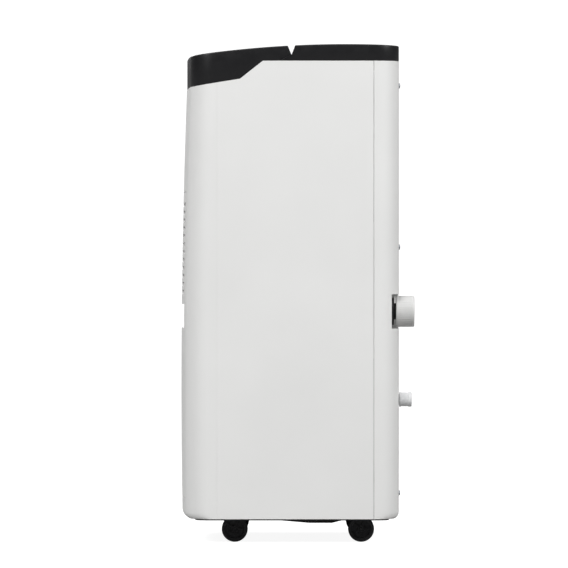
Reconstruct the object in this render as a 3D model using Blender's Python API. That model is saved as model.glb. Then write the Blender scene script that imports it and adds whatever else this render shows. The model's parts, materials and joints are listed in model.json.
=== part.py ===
"""A portable compressor dehumidifier on four twin-wheel castors.

Metres, +Z up, the front faces -Y. The origin is on the floor, under the middle of the whole object.
Every sub-part is an object of its own. A moving piece has its origin, or its parent empty, on its
joint's axis.
"""

import math

import bmesh
import bpy
from mathutils import Matrix, Vector

# Cabinet
WIDTH = 0.386
DEPTH = 0.269                 # from the foremost point of the front to the rear panel
HEIGHT = 0.610
BACK_Y = 0.125
BODY_BOTTOM_Z = 0.029
WALL = 0.003
CORNER_RADIUS = 0.028         # upright corners, in plan
FOOT_RADIUS = 0.009           # lower edges of the front shell and the rear panel
FRONT_BOW = 0.006             # the front is this much further out at the middle than at its corners
FRONT_FALL = 0.009            # the front leans back by this much at the top
FRONT_WIDEST_Z = 0.190
FRONT_SEAM_SETBACK = 0.046    # from the foremost point to the front shell's upright seams
REAR_SEAM_SETBACK = 0.031

# Dark top band
TOP_FALL = 0.016              # the crowned top is this much lower at the front edge
TOP_PEAK_Y = 0.060
BAND_REAR_DEPTH = 0.020
BAND_STEP_DEPTH = 0.042
BAND_FRONT_DEPTH = 0.054
GROOVE_Y = -0.0067            # V-groove across the top
GROOVE_HALF_WIDTH = 0.0045
GROOVE_DEPTH = 0.011
SEAM_SLANT = 0.013            # the seam under the groove runs this much forward
STEP_REAR_SETBACK = 0.035     # from the groove forward to the start of the diagonal step
STEP_FRONT_SETBACK = 0.063

# Clearances
GAP = 0.0004                  # between pieces that touch
RUNNING_GAP = 0.0004          # between a pin and its hole
SLIDE_GAP = 0.0006            # round a piece that slides or swings
CUT_MARGIN = 0.010            # how far a cut runs past the face that it opens

# Front: tank bay, finger scoop and inlet grille, from the bottom up
FRONT_OPENING_WIDTH = 0.300
FASCIA_BOTTOM_Z = 0.053
FASCIA_TOP_Z = 0.263
FASCIA_WALL = 0.004
SCOOP_TOP_Z = 0.2915
SCOOP_DEPTH = 0.025
SCOOP_WALL = 0.0022
GRILLE_TOP_Z = 0.430
GRILLE_ROWS = 12
GRILLE_SLOT_HEIGHT = 0.0050
GRILLE_MULLION = 0.008
GRILLE_BORDER = 0.010

# Filter
FILTER_THICKNESS = 0.006
FILTER_BORDER = 0.008
FILTER_MESH_THICKNESS = 0.0008
FILTER_INSET = 0.003          # from the grille's edges to the filter's frame

# Water tank
TANK_WIDTH = 0.268
TANK_WALL = 0.0025
TANK_CORNER = 0.012
TANK_FLOOR_Z = 0.055
TANK_FRONT_ROOM = 0.0005      # behind the fascia's bow
TANK_REAR_ROOM = 0.003        # in front of the bulkhead
TANK_HEIGHT = 0.150
LID_THICKNESS = 0.003
POUR_HOLE_SIZE = 0.030
POUR_HOLE_SIDE = 0.016        # from the tank's side
POUR_HOLE_SETBACK = 0.012     # from the tank's front
LEVEL_WINDOW_WIDTH = 0.044
LEVEL_WINDOW_LOW_Z = 0.215
LEVEL_WINDOW_HIGH_Z = 0.253

# Tank handle and float
HANDLE_WIDTH = 0.124
HANDLE_REACH = 0.055
HANDLE_BAR = 0.006
HANDLE_PIVOT_SETBACK = 0.024  # from the tank's rear wall forward
HANDLE_END = 0.004            # the handle's arms run this far past their pivot
HANDLE_GRIP = 0.0096          # width of the bar that the hand holds
PIVOT_PIN_RADIUS = 0.0022
PIVOT_PIN_ROOT = 0.002        # inside the handle's arm
LUG_THICKNESS = 0.005
LUG_RADIUS = 0.0052
FLOAT_X = 0.095
FLOAT_LENGTH = 0.030
FLOAT_WIDTH = 0.026
FLOAT_HEIGHT = 0.013
FLOAT_ARM_WIDTH = 0.008
FLOAT_PIVOT_DROP = 0.008      # below the lid
FLOAT_PIVOT_SETBACK = 0.012   # from the tank's rear wall forward
FLOAT_ARM_LENGTH = 0.024
FLOAT_ARM_HALF_HEIGHT = 0.003
FLOAT_PAD_NEAR = 0.014        # from the pivot forward to the pad
FLOAT_PAD_DROP = 0.002        # from the pivot down to the pad's top

# Base pan and castors
PAN_BOTTOM_Z = 0.027
PAN_FLOOR = 0.003
PAN_RIM_Z = 0.050
SUMP_DEPTH = 0.0055
SUMP_SETBACK = 0.044          # from the groove forward to the sump's front
SUMP_EDGE = 0.002
SUMP_FLAT_START = 0.066       # from the sump's front to its lowest part
SUMP_FLAT_END = 0.094
SUMP_LENGTH = 0.118
RAIL_SETBACK = 0.018          # from the foremost point to the tank's rails
RAIL_PLACES = (-0.095, 0.085)
RAIL_WIDTH = 0.010
RAIL_END_ROOM = 0.004         # from the bulkhead
SUMP_WIDTH = 0.220
CASTOR_X = 0.146
CASTOR_FRONT_SETBACK = 0.0576  # from the foremost point to the front swivel axes
CASTOR_REAR_SETBACK = 0.0562   # from the rear panel to the rear swivel axes
CASTOR_TRAIL = 0.010
WHEEL_RADIUS = 0.016
WHEEL_WIDTH = 0.0085
WHEEL_SIDES = 16
WELL_GAP = 0.0012             # between a wheel's tread and its hood
HOOD_WALL = 0.0028
HOOD_WIDTH = 0.026
WEB_THICKNESS = 0.005
AXLE_RADIUS = 0.002
STEM_RADIUS = 0.005
HOOD_BOSS_RADIUS = 0.009
HOOD_BOSS_HEIGHT = 0.002      # above the hood
HOOD_BOSS_ROOT = 0.012        # from the axle up to the boss's root, inside the hood
WHEEL_EDGE = 0.001
AXLE_INSET = 0.0008           # from the hood's side faces to the axle's ends
SOCKET_WALL = 0.0045
POCKET_GAP = 0.0015           # over the hood
POCKET_SIDE_GAP = 0.002       # round the swivelling hood

# Drip tray, bulkhead and coils
TRAY_HALF_WIDTH = 0.160
TRAY_DEPTH_Z = 0.013
TRAY_DROP = 0.0055            # below the finger scoop's top
TRAY_WALL = 0.0025
BULKHEAD_THICKNESS = 0.003
COIL_HALF_WIDTH = 0.145
COIL_THICKNESS = 0.028
COIL_SPACING = 0.006
COIL_TOP_DROP = 0.075         # below the top
PLATE_OVERHANG = 0.001        # the coils' end plates overlap the fins, and stand out past them
PLATE_THICKNESS = 0.0015
TRAY_CORNER = 0.008
TRAY_FRONT_ROOM = 0.006       # behind the finger scoop
SMALL_ROOM = 0.001            # between hidden pieces that stand close together
BULKHEAD_ROOM = 0.008         # from the compressor

# Fan
FAN_DROP = 0.180              # the fan's axis, below the top
SCROLL_DEPTH = 0.092
DUCT_TOP_GAP = 0.004          # under the outlet's floor
SCROLL_WALL = 0.0025
SCROLL_START_RADIUS = 0.078
SCROLL_END_RADIUS = 0.118
SCROLL_INLET_RADIUS = 0.058
IMPELLER_RADIUS = 0.062
IMPELLER_DEPTH = 0.062
IMPELLER_BLADES = 20
IMPELLER_WALL = 0.010
IMPELLER_DISC = 0.003
IMPELLER_FRONT_ROOM = 0.006   # from the scroll's front wall
IMPELLER_FRONT_RING = 0.004
IMPELLER_REAR_RING = 0.007
BLADE_SLOT_HALF = 0.0062
HUB_RADIUS = 0.011
HUB_DEPTH = 0.014
SHAFT_ROOT = 0.012            # the shaft runs this far into the hub
SHAFT_END_ROOM = 0.003        # from the motor's rear face
SHAFT_HOLE_RADIUS = 0.012
MOTOR_EDGE = 0.004
MOTOR_REAR_EDGE = 0.006
SHAFT_RADIUS = 0.004
MOTOR_RADIUS = 0.038
MOTOR_LENGTH = 0.036
MOTOR_REAR_GAP = 0.021        # from the rear panel's inner face
MOTOR_FRONT_GAP = 0.002       # from the scroll

# Compressor and its neighbours
COMPRESSOR_RADIUS = 0.0575
COMPRESSOR_SIDE_ROOM = 0.0035  # from the castor pocket's dome
COMPRESSOR_HEIGHT = 0.187
COMPRESSOR_REAR_GAP = 0.0065
COMPRESSOR_RIM = 0.002        # the weld flange at the foot stands out this far
COMPRESSOR_RIM_HEIGHT = 0.003
COMPRESSOR_DOME = 0.032
RUBBER_FOOT_RADIUS = 0.009
RUBBER_FOOT_HEIGHT = 0.015
PIPE_RADIUS = 0.004
PIPE_COIL_HEIGHT = 0.030      # from the tray up to where the discharge pipe meets its coil
PIPE_COIL_RISE = 0.050        # from there up to where the suction pipe meets its coil
PIPE_TURN_DROP = 0.020        # below the tray
RISER_SETBACK = 0.036         # from the compressor's axis forward
SUCTION_ROOM = 0.010          # past the compressor's side

# Drain fittings
RECESS_SIDE_ROOM = 0.015      # wider than the cap
RECESS_END_ROOM = 0.004       # higher than the cap
RECESS_DEPTH = 0.009
RECESS_INSET = 0.0015         # past the room at the recess's inner side
DRAIN_Z = 0.283
DRAIN_X_INSET = 0.033         # from the side to the outlet's axis
CAP_RADIUS = 0.019
CAP_LENGTH = 0.0225
SPIGOT_RADIUS = 0.010
SPIGOT_BORE = 0.0065
SPIGOT_ROOT = 0.016           # inside the recess's floor
SPIGOT_TIP = 0.010            # past the rear panel
SPIGOT_FLANGE = 0.0025
CAP_OVERLAP = 0.0035          # the cap starts this far inside the rear panel's face
CAP_LIP = 0.001
CAP_EDGE = 0.002
WASHER_THICKNESS = 0.002
LOWER_OUTLET_Z = 0.175
LOWER_OUTLET_RADIUS = 0.007
LOWER_OUTLET_BORE = 0.0045
LOWER_OUTLET_ROOT = 0.014     # inside the rear wall
LOWER_OUTLET_TIP = 0.012      # past the rear panel
PLUG_RADIUS = 0.0090
PLUG_LENGTH = 0.015
PLUG_STAND_OFF = 0.0008       # from the rear panel
PLUG_EDGE = 0.0015
GLAND_X = -0.150
GLAND_Z = 0.085
GLAND_RADIUS = 0.0065
CORD_HOLE_RADIUS = 0.0036
GLAND_ROOT = 0.012            # inside the rear wall
GLAND_FLANGE = 0.003
GLAND_RIM = 0.002
GLAND_HEIGHT = 0.0016         # past the rear panel

# Control panel and outlet
BUTTON_SETBACK = 0.056        # from the foremost point to the row of buttons
BUTTON_RADIUS = 0.0075
BUTTON_TRAVEL = 0.0012
BUTTON_STEM_RADIUS = 0.002
BUTTON_FLANGE = 0.0014
BUTTON_FLANGE_THICKNESS = 0.0012
BUTTON_EDGE = 0.0006
BUTTON_STAND = 0.0004         # above the panel's face
BUTTONS = {
    "button_power": -0.092,
    "button_mode": -0.060,
    "button_humidity": 0.060,
    "button_fan_speed": 0.084,
    "button_timer": 0.108,
}
WINDOW_WIDTH = 0.066
WINDOW_DEPTH = 0.020
WINDOW_FLANGE = 0.002
WINDOW_THICKNESS = 0.0044
WINDOW_FLANGE_LOW = 0.0048    # below the panel's face
BOARD_DROP = 0.012            # below the panel's face
BOARD_THICKNESS = 0.0016
BOARD_MARGIN = 0.014          # past the outermost keys
BOARD_FRONT = 0.020           # in front of the row of keys
BOARD_REAR = 0.024
OUTLET_SIDE = 0.030           # from the side to the outlet's opening
OUTLET_FRONT_SETBACK = 0.0147  # from the groove rearward
OUTLET_REAR_SETBACK = 0.025   # from the rear panel forward
FLAP_THICKNESS = 0.003
FLAP_BARREL_RADIUS = 0.0040
FLAP_PIN_RADIUS = 0.0016
FLAP_PIN_LENGTH = 0.014
GRILLE_BARS = 8
GRILLE_BAR = 0.003
GRILLE_EDGE = 0.007

# Worked out from the sizes above
HALF_WIDTH = WIDTH / 2
FRONT_Y = BACK_Y - DEPTH
CORNER_X = HALF_WIDTH - CORNER_RADIUS
FRONT_SEAM_Y = FRONT_Y + FRONT_SEAM_SETBACK
REAR_SEAM_Y = BACK_Y - REAR_SEAM_SETBACK
OPENING_HALF = FRONT_OPENING_WIDTH / 2
PAN_TOP_Z = PAN_BOTTOM_Z + PAN_FLOOR
REAR_WALL_Y = BACK_Y - WALL
COMPRESSOR_Y = REAR_WALL_Y - COMPRESSOR_REAR_GAP - COMPRESSOR_RADIUS
BULKHEAD_Y = COMPRESSOR_Y - COMPRESSOR_RADIUS - BULKHEAD_ROOM - BULKHEAD_THICKNESS
MOTOR_REAR_Y = REAR_WALL_Y - MOTOR_REAR_GAP
SCROLL_REAR_Y = MOTOR_REAR_Y - MOTOR_LENGTH - MOTOR_FRONT_GAP
SCROLL_FRONT_Y = SCROLL_REAR_Y - SCROLL_DEPTH
FAN_Z = HEIGHT - FAN_DROP
TRAY_LOW_Z = SCOOP_TOP_Z - TRAY_DROP
TRAY_TOP_Z = TRAY_LOW_Z + TRAY_DEPTH_Z
COIL_TOP_Z = HEIGHT - COIL_TOP_DROP
DUCT_TOP_Z = HEIGHT - BAND_REAR_DEPTH - DUCT_TOP_GAP
BUTTON_Y = FRONT_Y + BUTTON_SETBACK
DRAIN_X = HALF_WIDTH - DRAIN_X_INSET
RECESS_FLOOR_Y = BACK_Y - RECESS_DEPTH
OUTLET_HALF = HALF_WIDTH - OUTLET_SIDE
OUTLET_FRONT_Y = GROOVE_Y + OUTLET_FRONT_SETBACK
OUTLET_REAR_Y = BACK_Y - OUTLET_REAR_SETBACK
AXLE_Z = WHEEL_RADIUS
WELL_RADIUS = WHEEL_RADIUS + WELL_GAP
HOOD_RADIUS = WELL_RADIUS + HOOD_WALL
POCKET_RADIUS = CASTOR_TRAIL + HOOD_RADIUS + POCKET_SIDE_GAP
COMPRESSOR_X = CASTOR_X - POCKET_RADIUS - WALL - COMPRESSOR_RADIUS - COMPRESSOR_SIDE_ROOM
RECESS_WIDTH = 2 * CAP_RADIUS + RECESS_SIDE_ROOM
RECESS_HEIGHT = 2 * CAP_RADIUS + RECESS_END_ROOM


def front_y(z):
    """The front's middle line: a shallow arc that leans back towards the top."""
    return FRONT_Y + FRONT_FALL * ((z - FRONT_WIDEST_Z) / (HEIGHT - FRONT_WIDEST_Z)) ** 2


def bow_at(x):
    """How far the front has fallen back at this distance from its middle."""
    return FRONT_BOW * (x / CORNER_X) ** 2


def top_z(y):
    """The crowned top, as seen from the side."""
    return HEIGHT - TOP_FALL * ((y - TOP_PEAK_Y) / (TOP_PEAK_Y - FRONT_Y)) ** 2


def band_corners():
    """The dark band's lower edge, from the front to the rear, as (y, z)."""
    return [
        (FRONT_Y, HEIGHT - BAND_FRONT_DEPTH),
        (GROOVE_Y - STEP_FRONT_SETBACK, HEIGHT - BAND_STEP_DEPTH),
        (GROOVE_Y - STEP_REAR_SETBACK, HEIGHT - BAND_REAR_DEPTH),
        (BACK_Y, HEIGHT - BAND_REAR_DEPTH),
    ]


def band_z(y):
    """The height of the dark band's lower edge."""
    corners = band_corners()
    for (near_y, near_z), (far_y, far_z) in zip(corners, corners[1:]):
        if y <= far_y:
            share = max(0.0, (y - near_y) / (far_y - near_y))
            return near_z + share * (far_z - near_z)
    return corners[-1][1]


# Materials


def finish(name, colour, roughness, metallic=0.0):
    """A plain Principled material."""
    made = bpy.data.materials.new(name)
    made.use_nodes = True
    shader = made.node_tree.nodes["Principled BSDF"]
    shader.inputs["Base Color"].default_value = (*colour, 1.0)
    shader.inputs["Roughness"].default_value = roughness
    shader.inputs["Metallic"].default_value = metallic
    return made


# Shapes


def place(axis, along, across):
    """A point from its place along an axis and its two places across it, in X, Y, Z order."""
    first, second = across
    points = {"X": (along, first, second), "Y": (first, along, second), "Z": (first, second, along)}
    return points[axis]


def prism(outline, axis, low, high):
    """A closed outline, extruded along an axis."""
    shape = bmesh.new()
    base = shape.faces.new([shape.verts.new(place(axis, low, point)) for point in outline])
    grown = bmesh.ops.extrude_face_region(shape, geom=[base])["geom"]
    moved = [item for item in grown if isinstance(item, bmesh.types.BMVert)]
    bmesh.ops.translate(shape, verts=moved, vec=place(axis, high - low, (0.0, 0.0)))
    return shape


def block(low, high):
    """A box between two corners."""
    corners = [(low[0], low[1]), (high[0], low[1]), (high[0], high[1]), (low[0], high[1])]
    return prism(corners, "Z", low[2], high[2])


def gathered(shapes):
    """Several shapes that stay clear of each other, in one mesh."""
    group = bmesh.new()
    for single in shapes:
        mesh = bpy.data.meshes.new("single")
        single.to_mesh(mesh)
        single.free()
        group.from_mesh(mesh)
        bpy.data.meshes.remove(mesh)
    return group


def blocks(corner_pairs):
    """Several boxes that stay clear of each other, in one mesh."""
    return gathered([block(low, high) for low, high in corner_pairs])


def turned(profile, steps, axis="Z", centre=(0.0, 0.0, 0.0), first_angle=0.0):
    """A profile of (radius, height) points turned about an axis, closed unless both ends are on it."""
    shape = bmesh.new()
    verts = [shape.verts.new((radius, 0.0, height)) for radius, height in profile]
    pairs = list(zip(verts, verts[1:]))
    if profile[0][0] > 0.0 or profile[-1][0] > 0.0:
        pairs.append((verts[-1], verts[0]))
    edges = [shape.edges.new(pair) for pair in pairs]
    bmesh.ops.spin(shape, geom=verts + edges, cent=(0, 0, 0), axis=(0, 0, 1), angle=math.tau, steps=steps,
                   use_merge=True)
    bmesh.ops.remove_doubles(shape, verts=shape.verts[:], dist=1e-6)
    turns = {"X": Matrix.Rotation(math.pi / 2, 4, "Y"), "Y": Matrix.Rotation(-math.pi / 2, 4, "X")}
    upright = turns.get(axis, Matrix.Identity(4))
    move = Matrix.Translation(centre) @ upright @ Matrix.Rotation(first_angle, 4, "Z")
    bmesh.ops.transform(shape, matrix=move, verts=shape.verts[:])
    return shape


def rod(radius, low, high, steps=24, axis="Z", centre=(0.0, 0.0, 0.0), first_angle=0.0):
    """A plain round bar."""
    return turned([(0.0, low), (radius, low), (radius, high), (0.0, high)], steps, axis, centre, first_angle)


def ring(inner, outer, low, high, steps=24, axis="Z", centre=(0.0, 0.0, 0.0)):
    """A plain round tube."""
    return turned([(inner, low), (outer, low), (outer, high), (inner, high)], steps, axis, centre)


def lofted(rings):
    """A skin through closed rings of points that match, capped at both ends."""
    shape = bmesh.new()
    loops = [[shape.verts.new(point) for point in points] for points in rings]
    for lower, upper in zip(loops, loops[1:]):
        for index in range(len(lower)):
            shape.faces.new((lower[index - 1], lower[index], upper[index], upper[index - 1]))
    shape.faces.new(loops[0])
    shape.faces.new(loops[-1])
    return shape


def thick_sheet(outer, inner):
    """A solid between two grids of points that match row by row."""
    shape = bmesh.new()
    skins = [[[shape.verts.new(point) for point in row] for row in grid] for grid in (outer, inner)]
    last_row = len(outer) - 1
    last_column = len(outer[0]) - 1
    for skin in skins:
        for row in range(last_row):
            for column in range(last_column):
                near, far = skin[row], skin[row + 1]
                shape.faces.new((near[column], near[column + 1], far[column + 1], far[column]))
    rim = [(0, column) for column in range(last_column)]
    rim += [(row, last_column) for row in range(last_row)]
    rim += [(last_row, column) for column in range(last_column, 0, -1)]
    rim += [(row, 0) for row in range(last_row, 0, -1)]
    for (row, column), (next_row, next_column) in zip(rim, rim[1:] + rim[:1]):
        shape.faces.new((
            skins[0][row][column], skins[0][next_row][next_column],
            skins[1][next_row][next_column], skins[1][row][column],
        ))
    return shape


def rounded_rectangle(low, high, radius, steps=4):
    """The outline of a rectangle with round corners."""
    points = []
    centres = [
        (high[0] - radius, high[1] - radius), (low[0] + radius, high[1] - radius),
        (low[0] + radius, low[1] + radius), (high[0] - radius, low[1] + radius),
    ]
    for quarter, (x, y) in enumerate(centres):
        for step in range(steps + 1):
            angle = (quarter + step / steps) * math.pi / 2
            points.append((x + radius * math.cos(angle), y + radius * math.sin(angle)))
    return points


# Objects


def add(name, shape, material=None, location=(0, 0, 0), parent=None, smooth_angle=40):
    """Makes a bmesh into an object."""
    bmesh.ops.recalc_face_normals(shape, faces=shape.faces[:])
    mesh = bpy.data.meshes.new(name)
    shape.to_mesh(mesh)
    shape.free()
    mesh.shade_smooth()
    mesh.set_sharp_from_angle(angle=math.radians(smooth_angle))
    if material:
        mesh.materials.append(material)
    made = bpy.data.objects.new(name, mesh)
    bpy.context.scene.collection.objects.link(made)
    made.location = location
    made.parent = parent
    return made


def empty(name, location=(0, 0, 0), parent=None):
    """An axis that pieces are parented to."""
    made = bpy.data.objects.new(name, None)
    bpy.context.scene.collection.objects.link(made)
    made.location = location
    made.parent = parent
    return made


def tool(made):
    """Marks an object as a cutter or a shape to join."""
    made.hide_render = True
    made.display_type = "WIRE"
    return made


def boolean(target, other, operation):
    """Adds an exact Boolean step with another object."""
    step = target.modifiers.new(other.name, "BOOLEAN")
    step.operation = operation
    step.solver = "EXACT"
    step.object = tool(other)


def cut(target, name, shape, **placing):
    """Takes a shape away from an object."""
    boolean(target, add(f"{target.name}_{name}", shape, **placing), "DIFFERENCE")


def join(target, name, shape, **placing):
    """Adds a shape to an object."""
    boolean(target, add(f"{target.name}_{name}", shape, **placing), "UNION")


def pipe(name, points, radius, material, bend=0.012, bend_steps=4):
    """A round pipe along straight runs with rounded corners."""
    path = [Vector(points[0])]
    for before, corner, after in zip(points, points[1:], points[2:]):
        before, corner, after = Vector(before), Vector(corner), Vector(after)
        start = corner + (before - corner).normalized() * bend
        end = corner + (after - corner).normalized() * bend
        for step in range(bend_steps + 1):
            share = step / bend_steps
            path.append(start * (1 - share) ** 2 + corner * 2 * share * (1 - share) + end * share ** 2)
    path.append(Vector(points[-1]))
    curve = bpy.data.curves.new(name, "CURVE")
    curve.dimensions = "3D"
    curve.bevel_depth = radius
    curve.bevel_resolution = 1
    curve.use_fill_caps = True
    spline = curve.splines.new("POLY")
    spline.points.add(len(path) - 1)
    for point, place_on_path in zip(spline.points, path):
        point.co = (*place_on_path, 1.0)
    curve.materials.append(material)
    made = bpy.data.objects.new(name, curve)
    bpy.context.scene.collection.objects.link(made)
    return made


# Plan outlines of the cabinet


def arc(centre, radius, start, end, steps=5):
    """Points on an arc, its angles in degrees."""
    angles = [math.radians(start + (end - start) * step / steps) for step in range(steps + 1)]
    return [(centre[0] + radius * math.cos(angle), centre[1] + radius * math.sin(angle)) for angle in angles]


def front_row(inset, front, bow_steps=4):
    """The front shell's plan line from its left seam round to its right seam."""
    radius = CORNER_RADIUS - inset
    corner_y = front + FRONT_BOW + CORNER_RADIUS
    half = arc((CORNER_X, corner_y), radius, -90, 0) + [(HALF_WIDTH - inset, FRONT_SEAM_Y)]
    bow = []
    for step in range(1 - bow_steps, bow_steps):
        x = CORNER_X * step / bow_steps
        bow.append((x, front + inset + bow_at(x)))
    left = [(-x, y) for x, y in reversed(half)]
    return left + bow + half


def rear_row(inset, shrink=0.0):
    """The rear panel's plan line from its right seam round to its left seam."""
    radius = CORNER_RADIUS - inset
    corner_y = BACK_Y - CORNER_RADIUS
    half = [(HALF_WIDTH - inset, REAR_SEAM_Y)] + arc((CORNER_X, corner_y), radius, 0, 90)
    row = half + [(-x, y) for x, y in reversed(half)]
    return [(x, y - shrink * max(0.0, (y - REAR_SEAM_Y) / REAR_SEAM_SETBACK)) for x, y in row]


def plan(inset, front):
    """The whole cabinet's plan outline."""
    return front_row(inset, front) + rear_row(inset)


def foot_rows():
    """Heights and setbacks of the rounded lower edge, from the bottom up."""
    first = math.sin(math.radians(70))
    rows = []
    for degrees in (70, 45, 20, 0):
        angle = math.radians(degrees)
        setback = FOOT_RADIUS * (1 - math.cos(angle))
        rows.append((BODY_BOTTOM_Z + FOOT_RADIUS * (first - math.sin(angle)), setback))
    return rows


def curved_front_panel(half_width, low_z, high_z, depth_in, thickness, rows=6, columns=8):
    """A panel that follows the front's bow and lean."""
    grids = []
    for inset in (depth_in, depth_in + thickness):
        grid = []
        for row in range(rows + 1):
            z = low_z + (high_z - low_z) * row / rows
            line = []
            for column in range(columns + 1):
                x = half_width * (2 * column / columns - 1)
                line.append((x, front_y(z) + inset + bow_at(x), z))
            grid.append(line)
        grids.append(grid)
    return thick_sheet(*grids)


# Cabinet


def make_front_shell(material):
    """The moulded front with its corners, open in the middle for the grille, the scoop and the tank."""
    levels = foot_rows()
    mid_levels = 6
    low = levels[-1][0]
    high = HEIGHT - BAND_FRONT_DEPTH - CUT_MARGIN
    levels += [(low + (high - low) * step / mid_levels, 0.0) for step in range(1, mid_levels + 1)]
    grids = []
    for inset in (0.0, WALL):
        grid = [[(x, y, z) for x, y in front_row(inset, front_y(z) + setback)] for z, setback in levels]
        line = front_row(inset, front_y(HEIGHT - BAND_FRONT_DEPTH))
        grid.append([(x, y, band_z(y) - GAP) for x, y in line])
        grids.append(grid)
    shell = add("front_shell", thick_sheet(*grids), material)
    inside_y = FRONT_Y + 6 * CUT_MARGIN
    corner = OPENING_HALF + GAP
    opening = block(
        (-corner, FRONT_Y - CUT_MARGIN, FASCIA_BOTTOM_Z - GAP), (corner, inside_y, GRILLE_TOP_Z + GAP),
    )
    cut(shell, "opening", opening)


def make_side_panels(material):
    """Two flat sides; the top edge follows the dark band's step."""
    seam = GAP / 2
    front = FRONT_SEAM_Y + seam
    rear = REAR_SEAM_Y - seam
    top = [(front, band_z(front) - GAP)]
    top += [(y, z - GAP) for y, z in band_corners()[1:3]]
    top.append((rear, band_z(rear) - GAP))
    outline = [(rear, BODY_BOTTOM_Z), (front, BODY_BOTTOM_Z)] + top
    for name, side in (("side_panel_left", -1), ("side_panel_right", 1)):
        faces = sorted((side * HALF_WIDTH, side * (HALF_WIDTH - WALL)))
        add(name, prism(outline, "X", *faces), material)


def make_rear_panel(material):
    """The moulded back with its corners, the drain recess and the holes for the fittings."""
    top = HEIGHT - BAND_REAR_DEPTH - GAP
    levels = foot_rows() + [(top, 0.0)]
    seam = GAP / 2
    grids = []
    for inset in (0.0, WALL):
        grid = []
        for z, setback in levels:
            row = rear_row(inset, setback)
            row[0] = (row[0][0], REAR_SEAM_Y + seam)
            row[-1] = (row[-1][0], REAR_SEAM_Y + seam)
            grid.append([(x, y, z) for x, y in row])
        grids.append(grid)
    panel = add("rear_panel", thick_sheet(*grids), material)

    inner_x = DRAIN_X - RECESS_WIDTH / 2 - RECESS_INSET
    middle = CORNER_RADIUS - WALL / 2
    floor_y = RECESS_FLOOR_Y - WALL
    corner_y = BACK_Y - CORNER_RADIUS
    start = math.degrees(math.asin((floor_y - corner_y) / middle))
    pocket = [(inner_x - WALL, floor_y)] + arc((CORNER_X, corner_y), middle, start, 90)
    pocket.append((inner_x - WALL, BACK_Y - WALL / 2))
    half_height = RECESS_HEIGHT / 2
    join(panel, "pocket", prism(pocket, "Z", DRAIN_Z - half_height - WALL, DRAIN_Z + half_height + WALL))
    recess = block((inner_x, RECESS_FLOOR_Y, DRAIN_Z - half_height),
                   (HALF_WIDTH + CUT_MARGIN, BACK_Y + CUT_MARGIN, DRAIN_Z + half_height))
    cut(panel, "recess", recess)
    through = (REAR_WALL_Y - 2 * CUT_MARGIN, BACK_Y + CUT_MARGIN)
    cut(panel, "drain_hole", rod(SPIGOT_RADIUS + GAP, *through, axis="Y", centre=(DRAIN_X, 0, DRAIN_Z)))
    port = rod(LOWER_OUTLET_RADIUS + GAP, *through, axis="Y", centre=(DRAIN_X, 0, LOWER_OUTLET_Z))
    cut(panel, "port_hole", port)
    cut(panel, "gland_hole", rod(GLAND_RADIUS + GAP, *through, axis="Y", centre=(GLAND_X, 0, GLAND_Z)))


def make_base_pan(material):
    """The floor tray with its sump, tank rails and four castor pockets."""
    foot = FOOT_RADIUS + WALL + 2 * GAP
    side = WALL + GAP
    rings = []
    for inset, z in (
        (foot, PAN_BOTTOM_Z), (side, BODY_BOTTOM_Z + FOOT_RADIUS), (side, PAN_RIM_Z),
        (side + TRAY_WALL, PAN_RIM_Z), (side + TRAY_WALL, BODY_BOTTOM_Z + FOOT_RADIUS),
        (foot + TRAY_WALL, PAN_TOP_Z),
    ):
        rings.append([(x, y, z) for x, y in plan(inset, front_y(BODY_BOTTOM_Z))])
    pan = add("base_pan", lofted(rings), material)

    sump_low = PAN_BOTTOM_Z - SUMP_DEPTH
    sump_top = PAN_BOTTOM_Z + PAN_FLOOR / 2
    sump_front = GROOVE_Y - SUMP_SETBACK
    sump = [
        (sump_front, sump_top), (sump_front + SUMP_EDGE, PAN_BOTTOM_Z),
        (sump_front + SUMP_FLAT_START, sump_low), (sump_front + SUMP_FLAT_END, sump_low),
        (sump_front + SUMP_LENGTH - SUMP_EDGE, PAN_BOTTOM_Z), (sump_front + SUMP_LENGTH, sump_top),
    ]
    join(pan, "sump", prism(sump, "X", -SUMP_WIDTH / 2, SUMP_WIDTH / 2))

    rail_top = TANK_FLOOR_Z - GAP
    rail_front = FRONT_Y + RAIL_SETBACK
    for number, x in enumerate(RAIL_PLACES):
        low = (x, rail_front, PAN_BOTTOM_Z + PAN_FLOOR / 2)
        join(pan, f"rail_{number}", block(low, (x + RAIL_WIDTH, BULKHEAD_Y - RAIL_END_ROOM, rail_top)))

    pocket_top = AXLE_Z + HOOD_RADIUS + HOOD_BOSS_HEIGHT + POCKET_GAP
    boss_radius = STEM_RADIUS + RUNNING_GAP + SOCKET_WALL
    for name, x, y in castor_places():
        centre = (x, y, 0)
        dome = [
            (0.0, PAN_BOTTOM_Z + PAN_FLOOR / 2), (POCKET_RADIUS + WALL, PAN_BOTTOM_Z + PAN_FLOOR / 2),
            (POCKET_RADIUS + WALL, pocket_top + WALL), (boss_radius, pocket_top + WALL),
            (boss_radius, PAN_RIM_Z), (0.0, PAN_RIM_Z),
        ]
        join(pan, f"dome_{name}", turned(dome, 24, "Z", centre))
        hole_radius = STEM_RADIUS + RUNNING_GAP
        hollow = [
            (0.0, 0.0), (POCKET_RADIUS, 0.0), (POCKET_RADIUS, pocket_top), (hole_radius, pocket_top),
            (hole_radius, PAN_RIM_Z + CUT_MARGIN), (0.0, PAN_RIM_Z + CUT_MARGIN),
        ]
        cut(pan, f"pocket_{name}", turned(hollow, 24, "Z", centre))


# Castors


def castor_places():
    """The swivel axes, as (name, x, y)."""
    front = FRONT_Y + CASTOR_FRONT_SETBACK
    rear = BACK_Y - CASTOR_REAR_SETBACK
    return [
        ("front_left", -CASTOR_X, front), ("front_right", CASTOR_X, front),
        ("rear_left", -CASTOR_X, rear), ("rear_right", CASTOR_X, rear),
    ]


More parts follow.
